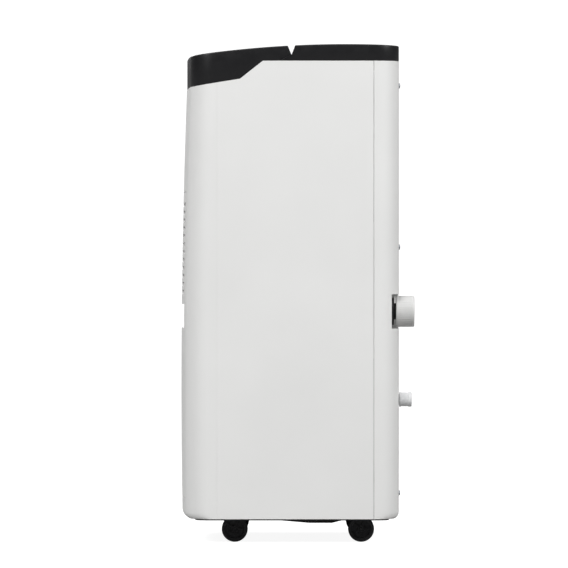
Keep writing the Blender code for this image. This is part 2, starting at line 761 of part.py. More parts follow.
def make_castor(name, x, y, plastic, tread):
    """A hood on a swivel stem, with a moulded axle and a wheel on each side of its web."""
    swivel = empty(f"castor_{name}_swivel", (x, y, 0))
    axle = (0.0, CASTOR_TRAIL, AXLE_Z)
    half = HOOD_WIDTH / 2
    arch = arc((CASTOR_TRAIL, AXLE_Z), HOOD_RADIUS, -4, 184, 12)
    hood = add(f"castor_{name}_hood", prism(arch, "X", -half, half), plastic, parent=swivel)
    boss_low = AXLE_Z + HOOD_BOSS_ROOT
    boss_top = AXLE_Z + HOOD_RADIUS + HOOD_BOSS_HEIGHT
    stem = [
        (0.0, boss_low), (HOOD_BOSS_RADIUS, boss_low), (HOOD_BOSS_RADIUS, boss_top),
        (STEM_RADIUS, boss_top), (STEM_RADIUS, PAN_RIM_Z), (0.0, PAN_RIM_Z),
    ]
    join(hood, "stem", turned(stem, 16), parent=swivel)
    for number, side in enumerate((-1, 1)):
        faces = sorted((side * WEB_THICKNESS / 2, side * (half + CUT_MARGIN)))
        cut(hood, f"well_{number}", rod(WELL_RADIUS, *faces, steps=20, axis="X", centre=axle), parent=swivel)
    stub = half - AXLE_INSET
    join(hood, "axle", rod(AXLE_RADIUS, -stub, stub, 12, "X", axle), parent=swivel)

    corner = WHEEL_RADIUS / math.cos(math.pi / WHEEL_SIDES)
    bore = AXLE_RADIUS + RUNNING_GAP
    for number, side in enumerate((-1, 1)):
        inner = side * (WEB_THICKNESS / 2 + SLIDE_GAP)
        outer = inner + side * WHEEL_WIDTH
        low, high = sorted((inner, outer))
        profile = [
            (bore, low), (corner - WHEEL_EDGE, low), (corner, low + WHEEL_EDGE),
            (corner, high - WHEEL_EDGE), (corner - WHEEL_EDGE, high), (bore, high),
        ]
        wheel = turned(profile, WHEEL_SIDES, "X", (0, 0, 0), math.pi / WHEEL_SIDES)
        add(f"castor_{name}_wheel_{number + 1}", wheel, tread, axle, swivel)


# Top


def top_line(start, end, drop=0.0, steps=10):
    """Points along the crowned top between two places, lowered by a drop."""
    ys = [start + (end - start) * step / steps for step in range(steps + 1)]
    return [(y, top_z(y) - drop) for y in ys]


def seam_places():
    """The groove's bottom and the seam's foot, as (y, z)."""
    groove = (GROOVE_Y, top_z(GROOVE_Y) - GROOVE_DEPTH)
    foot = (GROOVE_Y - SEAM_SLANT, HEIGHT - BAND_REAR_DEPTH)
    return groove, foot


def top_piece(name, profile, material):
    """A piece of the dark top: the cabinet's plan outline, cut to a side profile."""
    front = front_y(HEIGHT - BAND_STEP_DEPTH)
    levels = (HEIGHT - BAND_FRONT_DEPTH - CUT_MARGIN, HEIGHT + CUT_MARGIN)
    made = add(name, prism(plan(0.0, front), "Z", *levels), material)
    boolean(made, add(f"{name}_profile", prism(profile, "X", -WIDTH, WIDTH)), "INTERSECT")
    return made


def make_control_panel(material):
    """The front half of the top, which wraps down over the front."""
    groove, foot = seam_places()
    profile = [(FRONT_Y - CUT_MARGIN, HEIGHT - BAND_FRONT_DEPTH)]
    profile += band_corners()[:3]
    profile += [(foot[0] - GAP / 2, foot[1]), (groove[0] - GAP / 2, groove[1])]
    profile += top_line(GROOVE_Y - GROOVE_HALF_WIDTH, FRONT_Y)
    profile.append((FRONT_Y - CUT_MARGIN, top_z(FRONT_Y)))
    panel = top_piece("control_panel", profile, material)

    rear = foot[0] - WALL
    hollow_line = [(FRONT_Y - 2 * CUT_MARGIN, 0.5 * HEIGHT), (rear, 0.5 * HEIGHT)]
    hollow_line += top_line(rear, FRONT_Y - 2 * CUT_MARGIN, WALL)
    front = front_y(HEIGHT - BAND_STEP_DEPTH)
    hollow = add("control_panel_hollow", prism(plan(WALL, front), "Z", 0.6 * HEIGHT, HEIGHT))
    boolean(hollow, add("control_panel_hollow_profile", prism(hollow_line, "X", -WIDTH, WIDTH)), "INTERSECT")
    boolean(panel, hollow, "DIFFERENCE")

    face = panel_face()
    cut(panel, "window_hole", block(*window_corners(GAP, -CUT_MARGIN, CUT_MARGIN)), parent=face)
    for button, x in BUTTONS.items():
        hole = rod(BUTTON_RADIUS + GAP, -CUT_MARGIN, CUT_MARGIN, 24)
        cut(panel, f"{button}_hole", hole, location=(x, 0, 0), parent=face)


def panel_tilt():
    """How far the panel's face leans forward at the row of buttons."""
    return math.atan(2 * TOP_FALL * (TOP_PEAK_Y - BUTTON_Y) / (TOP_PEAK_Y - FRONT_Y) ** 2)


def panel_face():
    """An empty on the panel's face, its Z out of the face."""
    face = bpy.data.objects.get("panel_face")
    if not face:
        face = empty("panel_face", (0, BUTTON_Y, top_z(BUTTON_Y)))
        face.rotation_euler = (panel_tilt(), 0, 0)
    return face


def window_corners(margin, low, high):
    """The display window's box on the panel's face, grown by a margin."""
    half = WINDOW_WIDTH / 2 + margin
    depth = WINDOW_DEPTH / 2 + margin
    return (-half, -depth, low), (half, depth, high)


def make_display_window(material):
    """The smoked window, held by a flange under the panel."""
    pane = block(*window_corners(0.0, -WINDOW_THICKNESS, 0.0))
    window = add("display_window", pane, material, parent=panel_face())
    flange = block(*window_corners(WINDOW_FLANGE, -WINDOW_FLANGE_LOW, -WALL - GAP))
    join(window, "flange", flange, parent=panel_face())


def make_buttons(material):
    """The row of keys, each with a flange that keeps it in its hole."""
    tip = -BOARD_DROP + BUTTON_TRAVEL + GAP
    under = -WALL - GAP
    flange_low = under - BUTTON_FLANGE_THICKNESS
    flange_radius = BUTTON_RADIUS + BUTTON_FLANGE
    for name, x in BUTTONS.items():
        profile = [
            (0.0, tip), (BUTTON_STEM_RADIUS, tip), (BUTTON_STEM_RADIUS, flange_low),
            (flange_radius, flange_low), (flange_radius, under), (BUTTON_RADIUS, under),
            (BUTTON_RADIUS, 0.0), (BUTTON_RADIUS - BUTTON_EDGE, BUTTON_STAND), (0.0, BUTTON_STAND),
        ]
        add(name, turned(profile, 20), material, (x, 0, 0), panel_face())


def make_control_board(material):
    """The circuit board under the keys."""
    half = max(abs(x) for x in BUTTONS.values()) + BOARD_MARGIN
    board = block((-half, -BOARD_FRONT, -BOARD_DROP - BOARD_THICKNESS), (half, BOARD_REAR, -BOARD_DROP))
    add("control_board", board, material, parent=panel_face())


def outlet_corners(margin, low, high):
    """The outlet's opening as a box, grown by a margin."""
    return (
        (-OUTLET_HALF - margin, OUTLET_FRONT_Y - margin, low),
        (OUTLET_HALF + margin, OUTLET_REAR_Y + margin, high),
    )


def make_outlet_housing(material):
    """The rear half of the top: a frame round the air outlet."""
    groove, foot = seam_places()
    past = BACK_Y + CUT_MARGIN
    profile = [(foot[0] + GAP / 2, foot[1]), (past, foot[1]), (past, top_z(BACK_Y))]
    profile += top_line(BACK_Y, GROOVE_Y + GROOVE_HALF_WIDTH)
    profile.append((groove[0] + GAP / 2, groove[1]))
    housing = top_piece("outlet_housing", profile, material)

    front = GROOVE_Y + GROOVE_HALF_WIDTH + SMALL_ROOM
    hollow_line = [(front, 0.5 * HEIGHT), (BACK_Y, 0.5 * HEIGHT)] + top_line(BACK_Y, front, WALL)
    hollow = add("outlet_hollow", prism(plan(WALL, FRONT_Y), "Z", 0.6 * HEIGHT, HEIGHT))
    boolean(hollow, add("outlet_hollow_profile", prism(hollow_line, "X", -WIDTH, WIDTH)), "INTERSECT")
    cut(hollow, "well", block(*outlet_corners(TRAY_WALL, 0.0, HEIGHT + CUT_MARGIN)))
    boolean(housing, hollow, "DIFFERENCE")
    cut(housing, "opening", block(*outlet_corners(0.0, 0.0, HEIGHT + CUT_MARGIN)))


def flap_axis():
    """The flap's hinge axis, as (y, z)."""
    y = OUTLET_REAR_Y - SLIDE_GAP - FLAP_BARREL_RADIUS
    return y, top_z(y) - FLAP_BARREL_RADIUS


def make_outlet_flap(material, steel):
    """The louvre that closes the outlet, with a barrel along its rear edge, and its two hinge pins."""
    axis_y, axis_z = flap_axis()
    hinge = empty("flap_hinge", (0, axis_y, axis_z))
    front = OUTLET_FRONT_Y + SLIDE_GAP
    half = OUTLET_HALF - SLIDE_GAP
    outline = top_line(front, axis_y, 0.0, 8) + list(reversed(top_line(front, axis_y, FLAP_THICKNESS, 8)))
    outline = [(y - axis_y, z - axis_z) for y, z in outline]
    flap = add("outlet_flap", prism(outline, "X", -half, half), material, parent=hinge)
    join(flap, "barrel", rod(FLAP_BARREL_RADIUS, -half, half, 20, "X"), parent=hinge)
    for number, side in enumerate((-1, 1)):
        faces = sorted((side * (half - FLAP_PIN_LENGTH), side * (half + CUT_MARGIN)))
        bore = rod(FLAP_PIN_RADIUS + RUNNING_GAP, *faces, steps=16, axis="X")
        cut(flap, f"bore_{number}", bore, parent=hinge)
        faces = sorted((side * (half - FLAP_PIN_LENGTH + SMALL_ROOM), side * (OUTLET_HALF - GAP)))
        name = "flap_pin_left" if side < 0 else "flap_pin_right"
        add(name, rod(FLAP_PIN_RADIUS, *faces, steps=16, axis="X"), steel, parent=hinge)


def make_outlet_grille(material):
    """The guard under the flap."""
    high = HEIGHT - BAND_REAR_DEPTH + GRILLE_BAR
    grille = add("outlet_grille", block(*outlet_corners(-GAP, high - GRILLE_BAR, high)), material)
    low, top = outlet_corners(-GRILLE_EDGE, high - CUT_MARGIN, high + CUT_MARGIN)
    bar = GRILLE_BAR
    pitch = (top[1] - low[1] + bar) / GRILLE_BARS
    slots = []
    for number in range(GRILLE_BARS):
        y = low[1] + pitch * number
        for side in (0, 1):
            x_low = low[0] if side == 0 else bar
            x_high = -bar if side == 0 else top[0]
            slots.append(((x_low, y, low[2]), (x_high, y + pitch - bar, top[2])))
    cut(grille, "slots", blocks(slots))


# Front


def make_finger_scoop(material):
    """The hollow between the grille and the tank, where fingers pull the tank out."""
    depth_front = FRONT_Y + bow_at(OPENING_HALF) + WALL + SMALL_ROOM
    rear = depth_front + SCOOP_DEPTH
    low = FASCIA_TOP_Z + SLIDE_GAP + GAP
    high = SCOOP_TOP_Z - GAP
    half = OPENING_HALF - GAP
    scoop = add("finger_scoop", block((-half, depth_front, low), (half, rear, high)), material)
    hollow = block(
        (-half + SCOOP_WALL, depth_front - CUT_MARGIN, low - CUT_MARGIN),
        (half - SCOOP_WALL, rear - SCOOP_WALL, high - SCOOP_WALL),
    )
    cut(scoop, "hollow", hollow)


def make_inlet_grille(material, frame_material, mesh_material):
    """The louvred inlet with the dust filter behind it."""
    half = OPENING_HALF - GAP
    low = SCOOP_TOP_Z + GAP
    high = GRILLE_TOP_Z - GAP
    thickness = FASCIA_WALL
    grille = add("inlet_grille", curved_front_panel(half, low, high, 0.0, thickness), material)
    field_low = low + GRILLE_BORDER
    pitch = (high - GRILLE_BORDER - field_low) / GRILLE_ROWS
    reach = half - GRILLE_BORDER
    rear = FRONT_Y + 3 * CUT_MARGIN
    slots = []
    for row in range(GRILLE_ROWS):
        z = field_low + pitch * (row + 0.5) - GRILLE_SLOT_HEIGHT / 2
        for x_low, x_high in ((-reach, -GRILLE_MULLION / 2), (GRILLE_MULLION / 2, reach)):
            slots.append(((x_low, FRONT_Y - CUT_MARGIN, z), (x_high, rear, z + GRILLE_SLOT_HEIGHT)))
    cut(grille, "slots", blocks(slots))

    front = filter_front()
    frame_half = OPENING_HALF - FILTER_INSET
    frame_low = low + FILTER_INSET
    frame_high = high - FILTER_INSET
    corners = (-frame_half, front, frame_low), (frame_half, front + FILTER_THICKNESS, frame_high)
    frame = add("filter_frame", block(*corners), frame_material)
    inner_half = frame_half - FILTER_BORDER
    window = (frame_low + FILTER_BORDER, frame_high - FILTER_BORDER)
    hollow = block(
        (-inner_half, front - CUT_MARGIN, window[0]), (inner_half, front + 3 * CUT_MARGIN, window[1]),
    )
    cut(frame, "opening", hollow)
    middle = front + FILTER_THICKNESS / 2
    low_corner = (-inner_half + GAP, middle, window[0] + GAP)
    high_corner = (inner_half - GAP, middle + FILTER_MESH_THICKNESS, window[1] - GAP)
    add("filter_mesh", block(low_corner, high_corner), mesh_material)


def filter_front():
    """The filter frame's front face, just behind the grille's bowed back."""
    return front_y(GRILLE_TOP_Z) + FASCIA_WALL + FRONT_BOW + GAP


# Tank


def tank_span():
    """The tank's front and rear faces, as y."""
    return FRONT_Y + FRONT_BOW + FASCIA_WALL + TANK_FRONT_ROOM, BULKHEAD_Y - TANK_REAR_ROOM


def make_tank(clear, white, dark, smoke, foam):
    """The water tank: bin, fascia, level window, lid, carrying handle and float."""
    front, rear = tank_span()
    half = TANK_WIDTH / 2
    top = TANK_FLOOR_Z + TANK_HEIGHT
    rings = []
    inner_floor = TANK_FLOOR_Z + TANK_WALL
    for inset, z in ((0.0, TANK_FLOOR_Z), (0.0, top), (TANK_WALL, top), (TANK_WALL, inner_floor)):
        corners = (-half + inset, front + inset), (half - inset, rear - inset)
        outline = rounded_rectangle(*corners, TANK_CORNER - inset)
        rings.append([(x, y, z) for x, y in outline])
    add("tank_bin", lofted(rings), clear)

    fascia_half = OPENING_HALF - SLIDE_GAP
    shape = curved_front_panel(fascia_half, FASCIA_BOTTOM_Z + SLIDE_GAP, FASCIA_TOP_Z, 0.0, FASCIA_WALL)
    fascia = add("tank_fascia", shape, white)
    window_half = LEVEL_WINDOW_WIDTH / 2
    low = (-window_half - GAP, FRONT_Y - CUT_MARGIN, LEVEL_WINDOW_LOW_Z - GAP)
    high = (window_half + GAP, FRONT_Y + 2 * CUT_MARGIN, LEVEL_WINDOW_HIGH_Z + GAP)
    cut(fascia, "window_hole", block(low, high))
    levels = (LEVEL_WINDOW_LOW_Z, LEVEL_WINDOW_HIGH_Z)
    add("level_window", curved_front_panel(window_half, *levels, GAP / 2, FASCIA_WALL - GAP, 2, 2), smoke)

    lid_low = top + GAP
    lid_high = lid_low + LID_THICKNESS
    outline = rounded_rectangle((-half, front), (half, rear), TANK_CORNER)
    lid = add("tank_lid", prism(outline, "Z", lid_low, lid_high), dark)
    pour_x = -half + POUR_HOLE_SIDE
    pour_y = front + POUR_HOLE_SETBACK
    hole = block((pour_x, pour_y, 0.0), (pour_x + POUR_HOLE_SIZE, pour_y + POUR_HOLE_SIZE, HEIGHT))
    cut(lid, "pour_hole", hole)
    make_tank_handle(lid, lid_high, rear - HANDLE_PIVOT_SETBACK, dark)
    make_tank_float(lid, lid_low, rear - FLOAT_PIVOT_SETBACK, foam)


def lug(target, name, x_faces, pivot, root_z):
    """A lug on the lid with a round end and a hole for a pivot pin."""
    _, y, z = pivot
    outline = [(y - LUG_RADIUS, root_z), (y + LUG_RADIUS, root_z)]
    round_end = arc((y, z), LUG_RADIUS, 0, 180 if z > root_z else -180, 6)
    outline = [outline[0], outline[1]] + round_end
    join(target, name, prism(outline, "X", *sorted(x_faces)))
    ends = (x_faces[0] - SMALL_ROOM, x_faces[1] + SMALL_ROOM)
    hole = rod(PIVOT_PIN_RADIUS + RUNNING_GAP, *ends, 14, "X", (0, y, z))
    cut(target, f"{name}_hole", hole)


def make_tank_handle(lid, lid_high, pivot_y, material):
    """A carrying handle that lies on the lid and swings up."""
    pivot = (0.0, pivot_y, lid_high + GAP + LUG_RADIUS)
    half = HANDLE_WIDTH / 2
    bar = HANDLE_BAR / 2
    hinge = empty("handle_hinge", pivot)
    outer = [(-half, HANDLE_END), (-half, -HANDLE_REACH), (half, -HANDLE_REACH), (half, HANDLE_END)]
    inner_half = half - HANDLE_BAR
    inner = [(inner_half, HANDLE_END), (inner_half, -HANDLE_REACH + HANDLE_GRIP)]
    inner += [(-inner_half, -HANDLE_REACH + HANDLE_GRIP), (-inner_half, HANDLE_END)]
    handle = add("tank_handle", prism(outer + inner, "Z", -bar, bar), material, parent=hinge)
    lug_inner = half + SLIDE_GAP
    for number, side in enumerate((-1, 1)):
        faces = sorted((side * (half - PIVOT_PIN_ROOT), side * (lug_inner + LUG_THICKNESS)))
        join(handle, f"pin_{number}", rod(PIVOT_PIN_RADIUS, *faces, steps=14, axis="X"), parent=hinge)
        faces = sorted((side * lug_inner, side * (lug_inner + LUG_THICKNESS)))
        lug(lid, f"handle_lug_{number}", faces, pivot, lid_high - LID_THICKNESS / 2)


def make_tank_float(lid, lid_low, pivot_y, material):
    """The float that lifts as the tank fills."""
    pivot = (FLOAT_X, pivot_y, lid_low - FLOAT_PIVOT_DROP)
    hinge = empty("float_hinge", pivot)
    arm_half = FLOAT_ARM_WIDTH / 2
    arm_height = FLOAT_ARM_HALF_HEIGHT
    arm = block((-arm_half, -FLOAT_ARM_LENGTH, -arm_height), (arm_half, arm_height, arm_height))
    float_body = add("tank_float", arm, material, parent=hinge)
    pad = block(
        (-FLOAT_LENGTH / 2, -FLOAT_PAD_NEAR - FLOAT_WIDTH, -FLOAT_PAD_DROP - FLOAT_HEIGHT),
        (FLOAT_LENGTH / 2, -FLOAT_PAD_NEAR, -FLOAT_PAD_DROP),
    )
    join(float_body, "pad", pad, parent=hinge)
    lug_inner = arm_half + SLIDE_GAP
    lug_outer = lug_inner + LID_THICKNESS
    join(float_body, "pin", rod(PIVOT_PIN_RADIUS, -lug_outer, lug_outer, 14, "X"), parent=hinge)
    for number, side in enumerate((-1, 1)):
        faces = sorted((FLOAT_X + side * lug_inner, FLOAT_X + side * lug_outer))
        lug(lid, f"float_lug_{number}", faces, pivot, lid_low + LID_THICKNESS / 2)


# Inside


def make_bulkhead(material):
    """The upright wall between the tank bay and the compressor."""
    half = HALF_WIDTH - WALL - GAP - TRAY_WALL - SMALL_ROOM
    low = (-half, BULKHEAD_Y, PAN_TOP_Z + GAP)
    wall = add("bulkhead", block(low, (half, BULKHEAD_Y + BULKHEAD_THICKNESS, TRAY_LOW_Z - GAP)), material)
    slope = FOOT_RADIUS + SMALL_ROOM
    for number, side in enumerate((-1, 1)):
        foot = [
            (side * (half - slope), 0.0), (side * (half + CUT_MARGIN), 0.0),
            (side * (half + CUT_MARGIN), PAN_TOP_Z + slope), (side * half, PAN_TOP_Z + slope),
            (side * (half - slope), PAN_TOP_Z),
        ]
        cut(wall, f"foot_{number}", prism(foot, "Y", BULKHEAD_Y - CUT_MARGIN, BULKHEAD_Y + CUT_MARGIN))


def make_drip_tray(material):
    """The deck that carries the coils and the fan and catches the water."""
    low = (-TRAY_HALF_WIDTH, tray_front())
    high = (TRAY_HALF_WIDTH, SCROLL_REAR_Y)
    rings = []
    inner_floor = TRAY_LOW_Z + TRAY_WALL
    top = TRAY_TOP_Z
    for inset, z in ((0.0, TRAY_LOW_Z), (0.0, top), (TRAY_WALL, top), (TRAY_WALL, inner_floor)):
        corners = (low[0] + inset, low[1] + inset), (high[0] - inset, high[1] - inset)
        outline = rounded_rectangle(*corners, TRAY_CORNER - inset)
        rings.append([(x, y, z) for x, y in outline])
    add("drip_tray", lofted(rings), material)


def tray_front():
    """The drip tray's front face, just behind the finger scoop, as y."""
    return FRONT_Y + FRONT_BOW + SCOOP_DEPTH + TRAY_FRONT_ROOM


def coil_front():
    """The evaporator's front face, as y."""
    return tray_front() + TRAY_WALL + SMALL_ROOM


def make_coils(fins):
    """The cold evaporator and the warm condenser behind it."""
    low_z = TRAY_LOW_Z + TRAY_WALL + GAP
    for place_number, name in enumerate(("evaporator", "condenser")):
        front = coil_front() + place_number * (COIL_THICKNESS + COIL_SPACING)
        rear = front + COIL_THICKNESS
        core = block((-COIL_HALF_WIDTH, front, low_z), (COIL_HALF_WIDTH, rear, COIL_TOP_Z))
        coil = add(name, core, fins)
        for number, side in enumerate((-1, 1)):
            faces = sorted((
                side * (COIL_HALF_WIDTH - PLATE_OVERHANG), side * (COIL_HALF_WIDTH + PLATE_THICKNESS),
            ))
            plate = block(
                (faces[0], front - PLATE_OVERHANG, low_z),
                (faces[1], rear + PLATE_OVERHANG, COIL_TOP_Z + 2 * PLATE_OVERHANG),
            )
            join(coil, f"end_plate_{number}", plate)


def scroll_outline(inset, top):
    """The volute in the XZ plane: a spiral that opens into an upright duct."""
    steps = 22
    start, sweep = 110.0, 250.0
    points = []
    for step in range(steps + 1):
        share = step / steps
        angle = math.radians(start + sweep * share)
        radius = SCROLL_START_RADIUS + (SCROLL_END_RADIUS - SCROLL_START_RADIUS) * share - inset
        points.append((radius * math.cos(angle), FAN_Z + radius * math.sin(angle)))
    left = SCROLL_START_RADIUS * math.cos(math.radians(start)) + inset
    points[0] = (left, points[0][1])
    return points + [(SCROLL_END_RADIUS - inset, top), (left, top)]


def make_fan(plastic, dark, steel, motor_finish):
    """The scroll housing, its impeller on a shaft, and the motor behind it."""
    outside = (SCROLL_FRONT_Y, SCROLL_REAR_Y - GAP)
    scroll = add("fan_scroll", prism(scroll_outline(0.0, DUCT_TOP_Z), "Y", *outside), plastic)
    inside = (outside[0] + SCROLL_WALL, outside[1] - SCROLL_WALL)
    cut(scroll, "air_space", prism(scroll_outline(SCROLL_WALL, HEIGHT), "Y", *inside))
    centre = (0, 0, FAN_Z)
    ends = (SCROLL_FRONT_Y - CUT_MARGIN, SCROLL_FRONT_Y + CUT_MARGIN)
    cut(scroll, "inlet", rod(SCROLL_INLET_RADIUS, *ends, 32, "Y", centre))
    ends = (SCROLL_REAR_Y - CUT_MARGIN, SCROLL_REAR_Y + CUT_MARGIN)
    cut(scroll, "shaft_hole", rod(SHAFT_HOLE_RADIUS, *ends, 16, "Y", centre))

    axis = empty("fan_axis", centre)
    front = inside[0] + IMPELLER_FRONT_ROOM
    rear = front + IMPELLER_DEPTH
    inner_radius = IMPELLER_RADIUS - IMPELLER_WALL
    cup = [
        (SHAFT_RADIUS + GAP, rear - HUB_DEPTH), (HUB_RADIUS, rear - HUB_DEPTH),
        (HUB_RADIUS, rear - IMPELLER_DISC), (inner_radius, rear - IMPELLER_DISC), (inner_radius, front),
        (IMPELLER_RADIUS, front), (IMPELLER_RADIUS, rear), (SHAFT_RADIUS + GAP, rear),
    ]
    impeller = add("fan_impeller", turned(cup, 30, "Y"), dark, parent=axis)
    reach = IMPELLER_RADIUS + CUT_MARGIN
    for number in range(IMPELLER_BLADES // 2):
        slot = block(
            (-reach, front + IMPELLER_FRONT_RING, -BLADE_SLOT_HALF),
            (reach, rear - IMPELLER_REAR_RING, BLADE_SLOT_HALF),
        )
        bmesh.ops.rotate(slot, verts=slot.verts[:], cent=(0, 0, 0),
                         matrix=Matrix.Rotation(math.tau * number / IMPELLER_BLADES, 3, "Y"))
        cut(impeller, f"slot_{number}", slot, parent=axis)

    shaft = rod(SHAFT_RADIUS, rear - SHAFT_ROOT, MOTOR_REAR_Y - SHAFT_END_ROOM, 16, "Y")
    add("fan_shaft", shaft, steel, parent=axis)
    bore = SHAFT_RADIUS + RUNNING_GAP
    motor_front = MOTOR_REAR_Y - MOTOR_LENGTH
    body = [
        (bore, motor_front), (MOTOR_RADIUS - MOTOR_EDGE, motor_front),
        (MOTOR_RADIUS, motor_front + MOTOR_EDGE), (MOTOR_RADIUS, MOTOR_REAR_Y - MOTOR_REAR_EDGE),
        (MOTOR_RADIUS - MOTOR_REAR_EDGE, MOTOR_REAR_Y), (bore, MOTOR_REAR_Y),
    ]
    add("fan_motor", turned(body, 28, "Y", centre), motor_finish)


def make_compressor(paint, rubber):
    """The hermetic compressor on three rubber feet."""
    foot_top = PAN_TOP_Z + GAP + RUBBER_FOOT_HEIGHT
    low = foot_top + GAP
    high = low + COMPRESSOR_HEIGHT
    radius = COMPRESSOR_RADIUS
    rim_radius = radius + COMPRESSOR_RIM
    rim_top = low + COMPRESSOR_RIM_HEIGHT
    shoulder = high - COMPRESSOR_DOME
    profile = [(0.0, low), (rim_radius, low), (rim_radius, rim_top), (radius, rim_top), (radius, shoulder)]
    for degrees in (30, 55, 75):
        angle = math.radians(degrees)
        profile.append((radius * math.cos(angle), shoulder + COMPRESSOR_DOME * math.sin(angle)))
    profile.append((0.0, high))
    add("compressor", turned(profile, 28), paint, (COMPRESSOR_X, COMPRESSOR_Y, 0))
    for step in range(3):
        angle = math.radians(30 + 120 * step)
        reach = radius - RUBBER_FOOT_RADIUS
        centre = (COMPRESSOR_X + reach * math.cos(angle), COMPRESSOR_Y + reach * math.sin(angle), 0)
        foot = rod(RUBBER_FOOT_RADIUS, PAN_TOP_Z + GAP, foot_top, 14, "Z", centre)
        add(f"compressor_foot_{step + 1}", foot, rubber)


def make_pipes(copper):
    """The copper pipes between the compressor and the coils."""
    high = PAN_TOP_Z + 2 * GAP + RUBBER_FOOT_HEIGHT + COMPRESSOR_HEIGHT
    riser_x = (TRAY_HALF_WIDTH + HALF_WIDTH - WALL) / 2
    coil_z = TRAY_TOP_Z + PIPE_COIL_HEIGHT
    suction_z = coil_z + PIPE_COIL_RISE
    end_x = COIL_HALF_WIDTH + PLATE_THICKNESS + GAP
    evaporator_y = coil_front() + COIL_THICKNESS / 2
    condenser_y = evaporator_y + COIL_THICKNESS + COIL_SPACING
    turn_z = TRAY_LOW_Z - PIPE_TURN_DROP
    riser_y = COMPRESSOR_Y - RISER_SETBACK
    pipe("discharge_pipe", [
        (COMPRESSOR_X, COMPRESSOR_Y, high + GAP), (COMPRESSOR_X, COMPRESSOR_Y, turn_z),
        (-riser_x, COMPRESSOR_Y, turn_z), (-riser_x, COMPRESSOR_Y, coil_z),
        (-riser_x, condenser_y, coil_z), (-end_x, condenser_y, coil_z),
    ], PIPE_RADIUS, copper)
    start_x = COMPRESSOR_X + COMPRESSOR_RADIUS + GAP
    side_x = COMPRESSOR_X + COMPRESSOR_RADIUS + PIPE_RADIUS * 3 + SUCTION_ROOM
    low_z = high * 0.6
    bend_z = high * 0.75
    pipe("suction_pipe", [
        (start_x, COMPRESSOR_Y, low_z), (side_x, COMPRESSOR_Y, low_z),
        (side_x, riser_y, bend_z), (riser_x, riser_y, bend_z), (riser_x, riser_y, suction_z),
        (riser_x, evaporator_y, suction_z), (end_x, evaporator_y, suction_z),
    ], PIPE_RADIUS, copper)


# Drain fittings


def make_drain(dark, light, rubber):
    """The continuous-drain spigot in its recess, with a screw cap and its washer."""
    axis = (DRAIN_X, 0, DRAIN_Z)
    flange = RECESS_FLOOR_Y + GAP
    flange_top = flange + SPIGOT_FLANGE
    flange_radius = CAP_RADIUS - CAP_EDGE
    root = RECESS_FLOOR_Y - SPIGOT_ROOT
    tip = BACK_Y + SPIGOT_TIP
    spigot = [
        (SPIGOT_BORE, root), (SPIGOT_RADIUS, root), (SPIGOT_RADIUS, flange), (flange_radius, flange),
        (flange_radius, flange_top), (SPIGOT_RADIUS, flange_top), (SPIGOT_RADIUS, tip), (SPIGOT_BORE, tip),
    ]
    add("drain_spigot", turned(spigot, 24, "Y", axis), dark)
    cap_low = BACK_Y - CAP_OVERLAP
    cap_high = cap_low + CAP_LENGTH
    bore = SPIGOT_RADIUS + RUNNING_GAP
    washer_low = tip + GAP
    washer_high = washer_low + WASHER_THICKNESS
    cap = [
        (bore, cap_low), (CAP_RADIUS - CAP_LIP, cap_low), (CAP_RADIUS, cap_low + CAP_LIP),
        (CAP_RADIUS, cap_high - CAP_EDGE), (CAP_RADIUS - CAP_EDGE, cap_high), (0.0, cap_high),
        (0.0, washer_high + GAP), (bore, washer_high + GAP),
    ]
    open_profile = cap[5::-1] + cap[:5:-1]
    add("drain_cap", turned(open_profile, 32, "Y"), light, axis)
    add("drain_washer", ring(SPIGOT_BORE, SPIGOT_RADIUS, washer_low, washer_high, 20, "Y"), rubber, axis)


def make_lower_outlet(dark, rubber):
    """The lower outlet and its rubber plug."""
    axis = (DRAIN_X, 0, LOWER_OUTLET_Z)
    root = REAR_WALL_Y - LOWER_OUTLET_ROOT
    tip = BACK_Y + LOWER_OUTLET_TIP
    port = [
        (LOWER_OUTLET_BORE, root), (LOWER_OUTLET_RADIUS, root),
        (LOWER_OUTLET_RADIUS, tip), (LOWER_OUTLET_BORE, tip),
    ]
    add("lower_outlet", turned(port, 20, "Y", axis), dark)
    low = BACK_Y + GAP
    high = BACK_Y + PLUG_STAND_OFF + PLUG_LENGTH
    bore = LOWER_OUTLET_RADIUS + RUNNING_GAP
    plug = [
        (0.0, high), (PLUG_RADIUS - PLUG_EDGE, high), (PLUG_RADIUS, high - PLUG_EDGE), (PLUG_RADIUS, low),
        (bore, low), (bore, tip + GAP), (0.0, tip + GAP),
    ]
    add("lower_plug", turned(plug, 24, "Y"), rubber, axis)


def make_cord_gland(dark):
    """The grommet where the mains lead enters."""
    low = REAR_WALL_Y - GLAND_ROOT
    face = BACK_Y + GAP
    high = BACK_Y + GLAND_HEIGHT
    gland = [
        (CORD_HOLE_RADIUS, low), (GLAND_RADIUS, low), (GLAND_RADIUS, face),
        (GLAND_RADIUS + GLAND_FLANGE, face), (GLAND_RADIUS + GLAND_RIM, high), (CORD_HOLE_RADIUS, high),
    ]
    add("cord_gland", turned(gland, 20, "Y", (GLAND_X, 0, GLAND_Z)), dark)


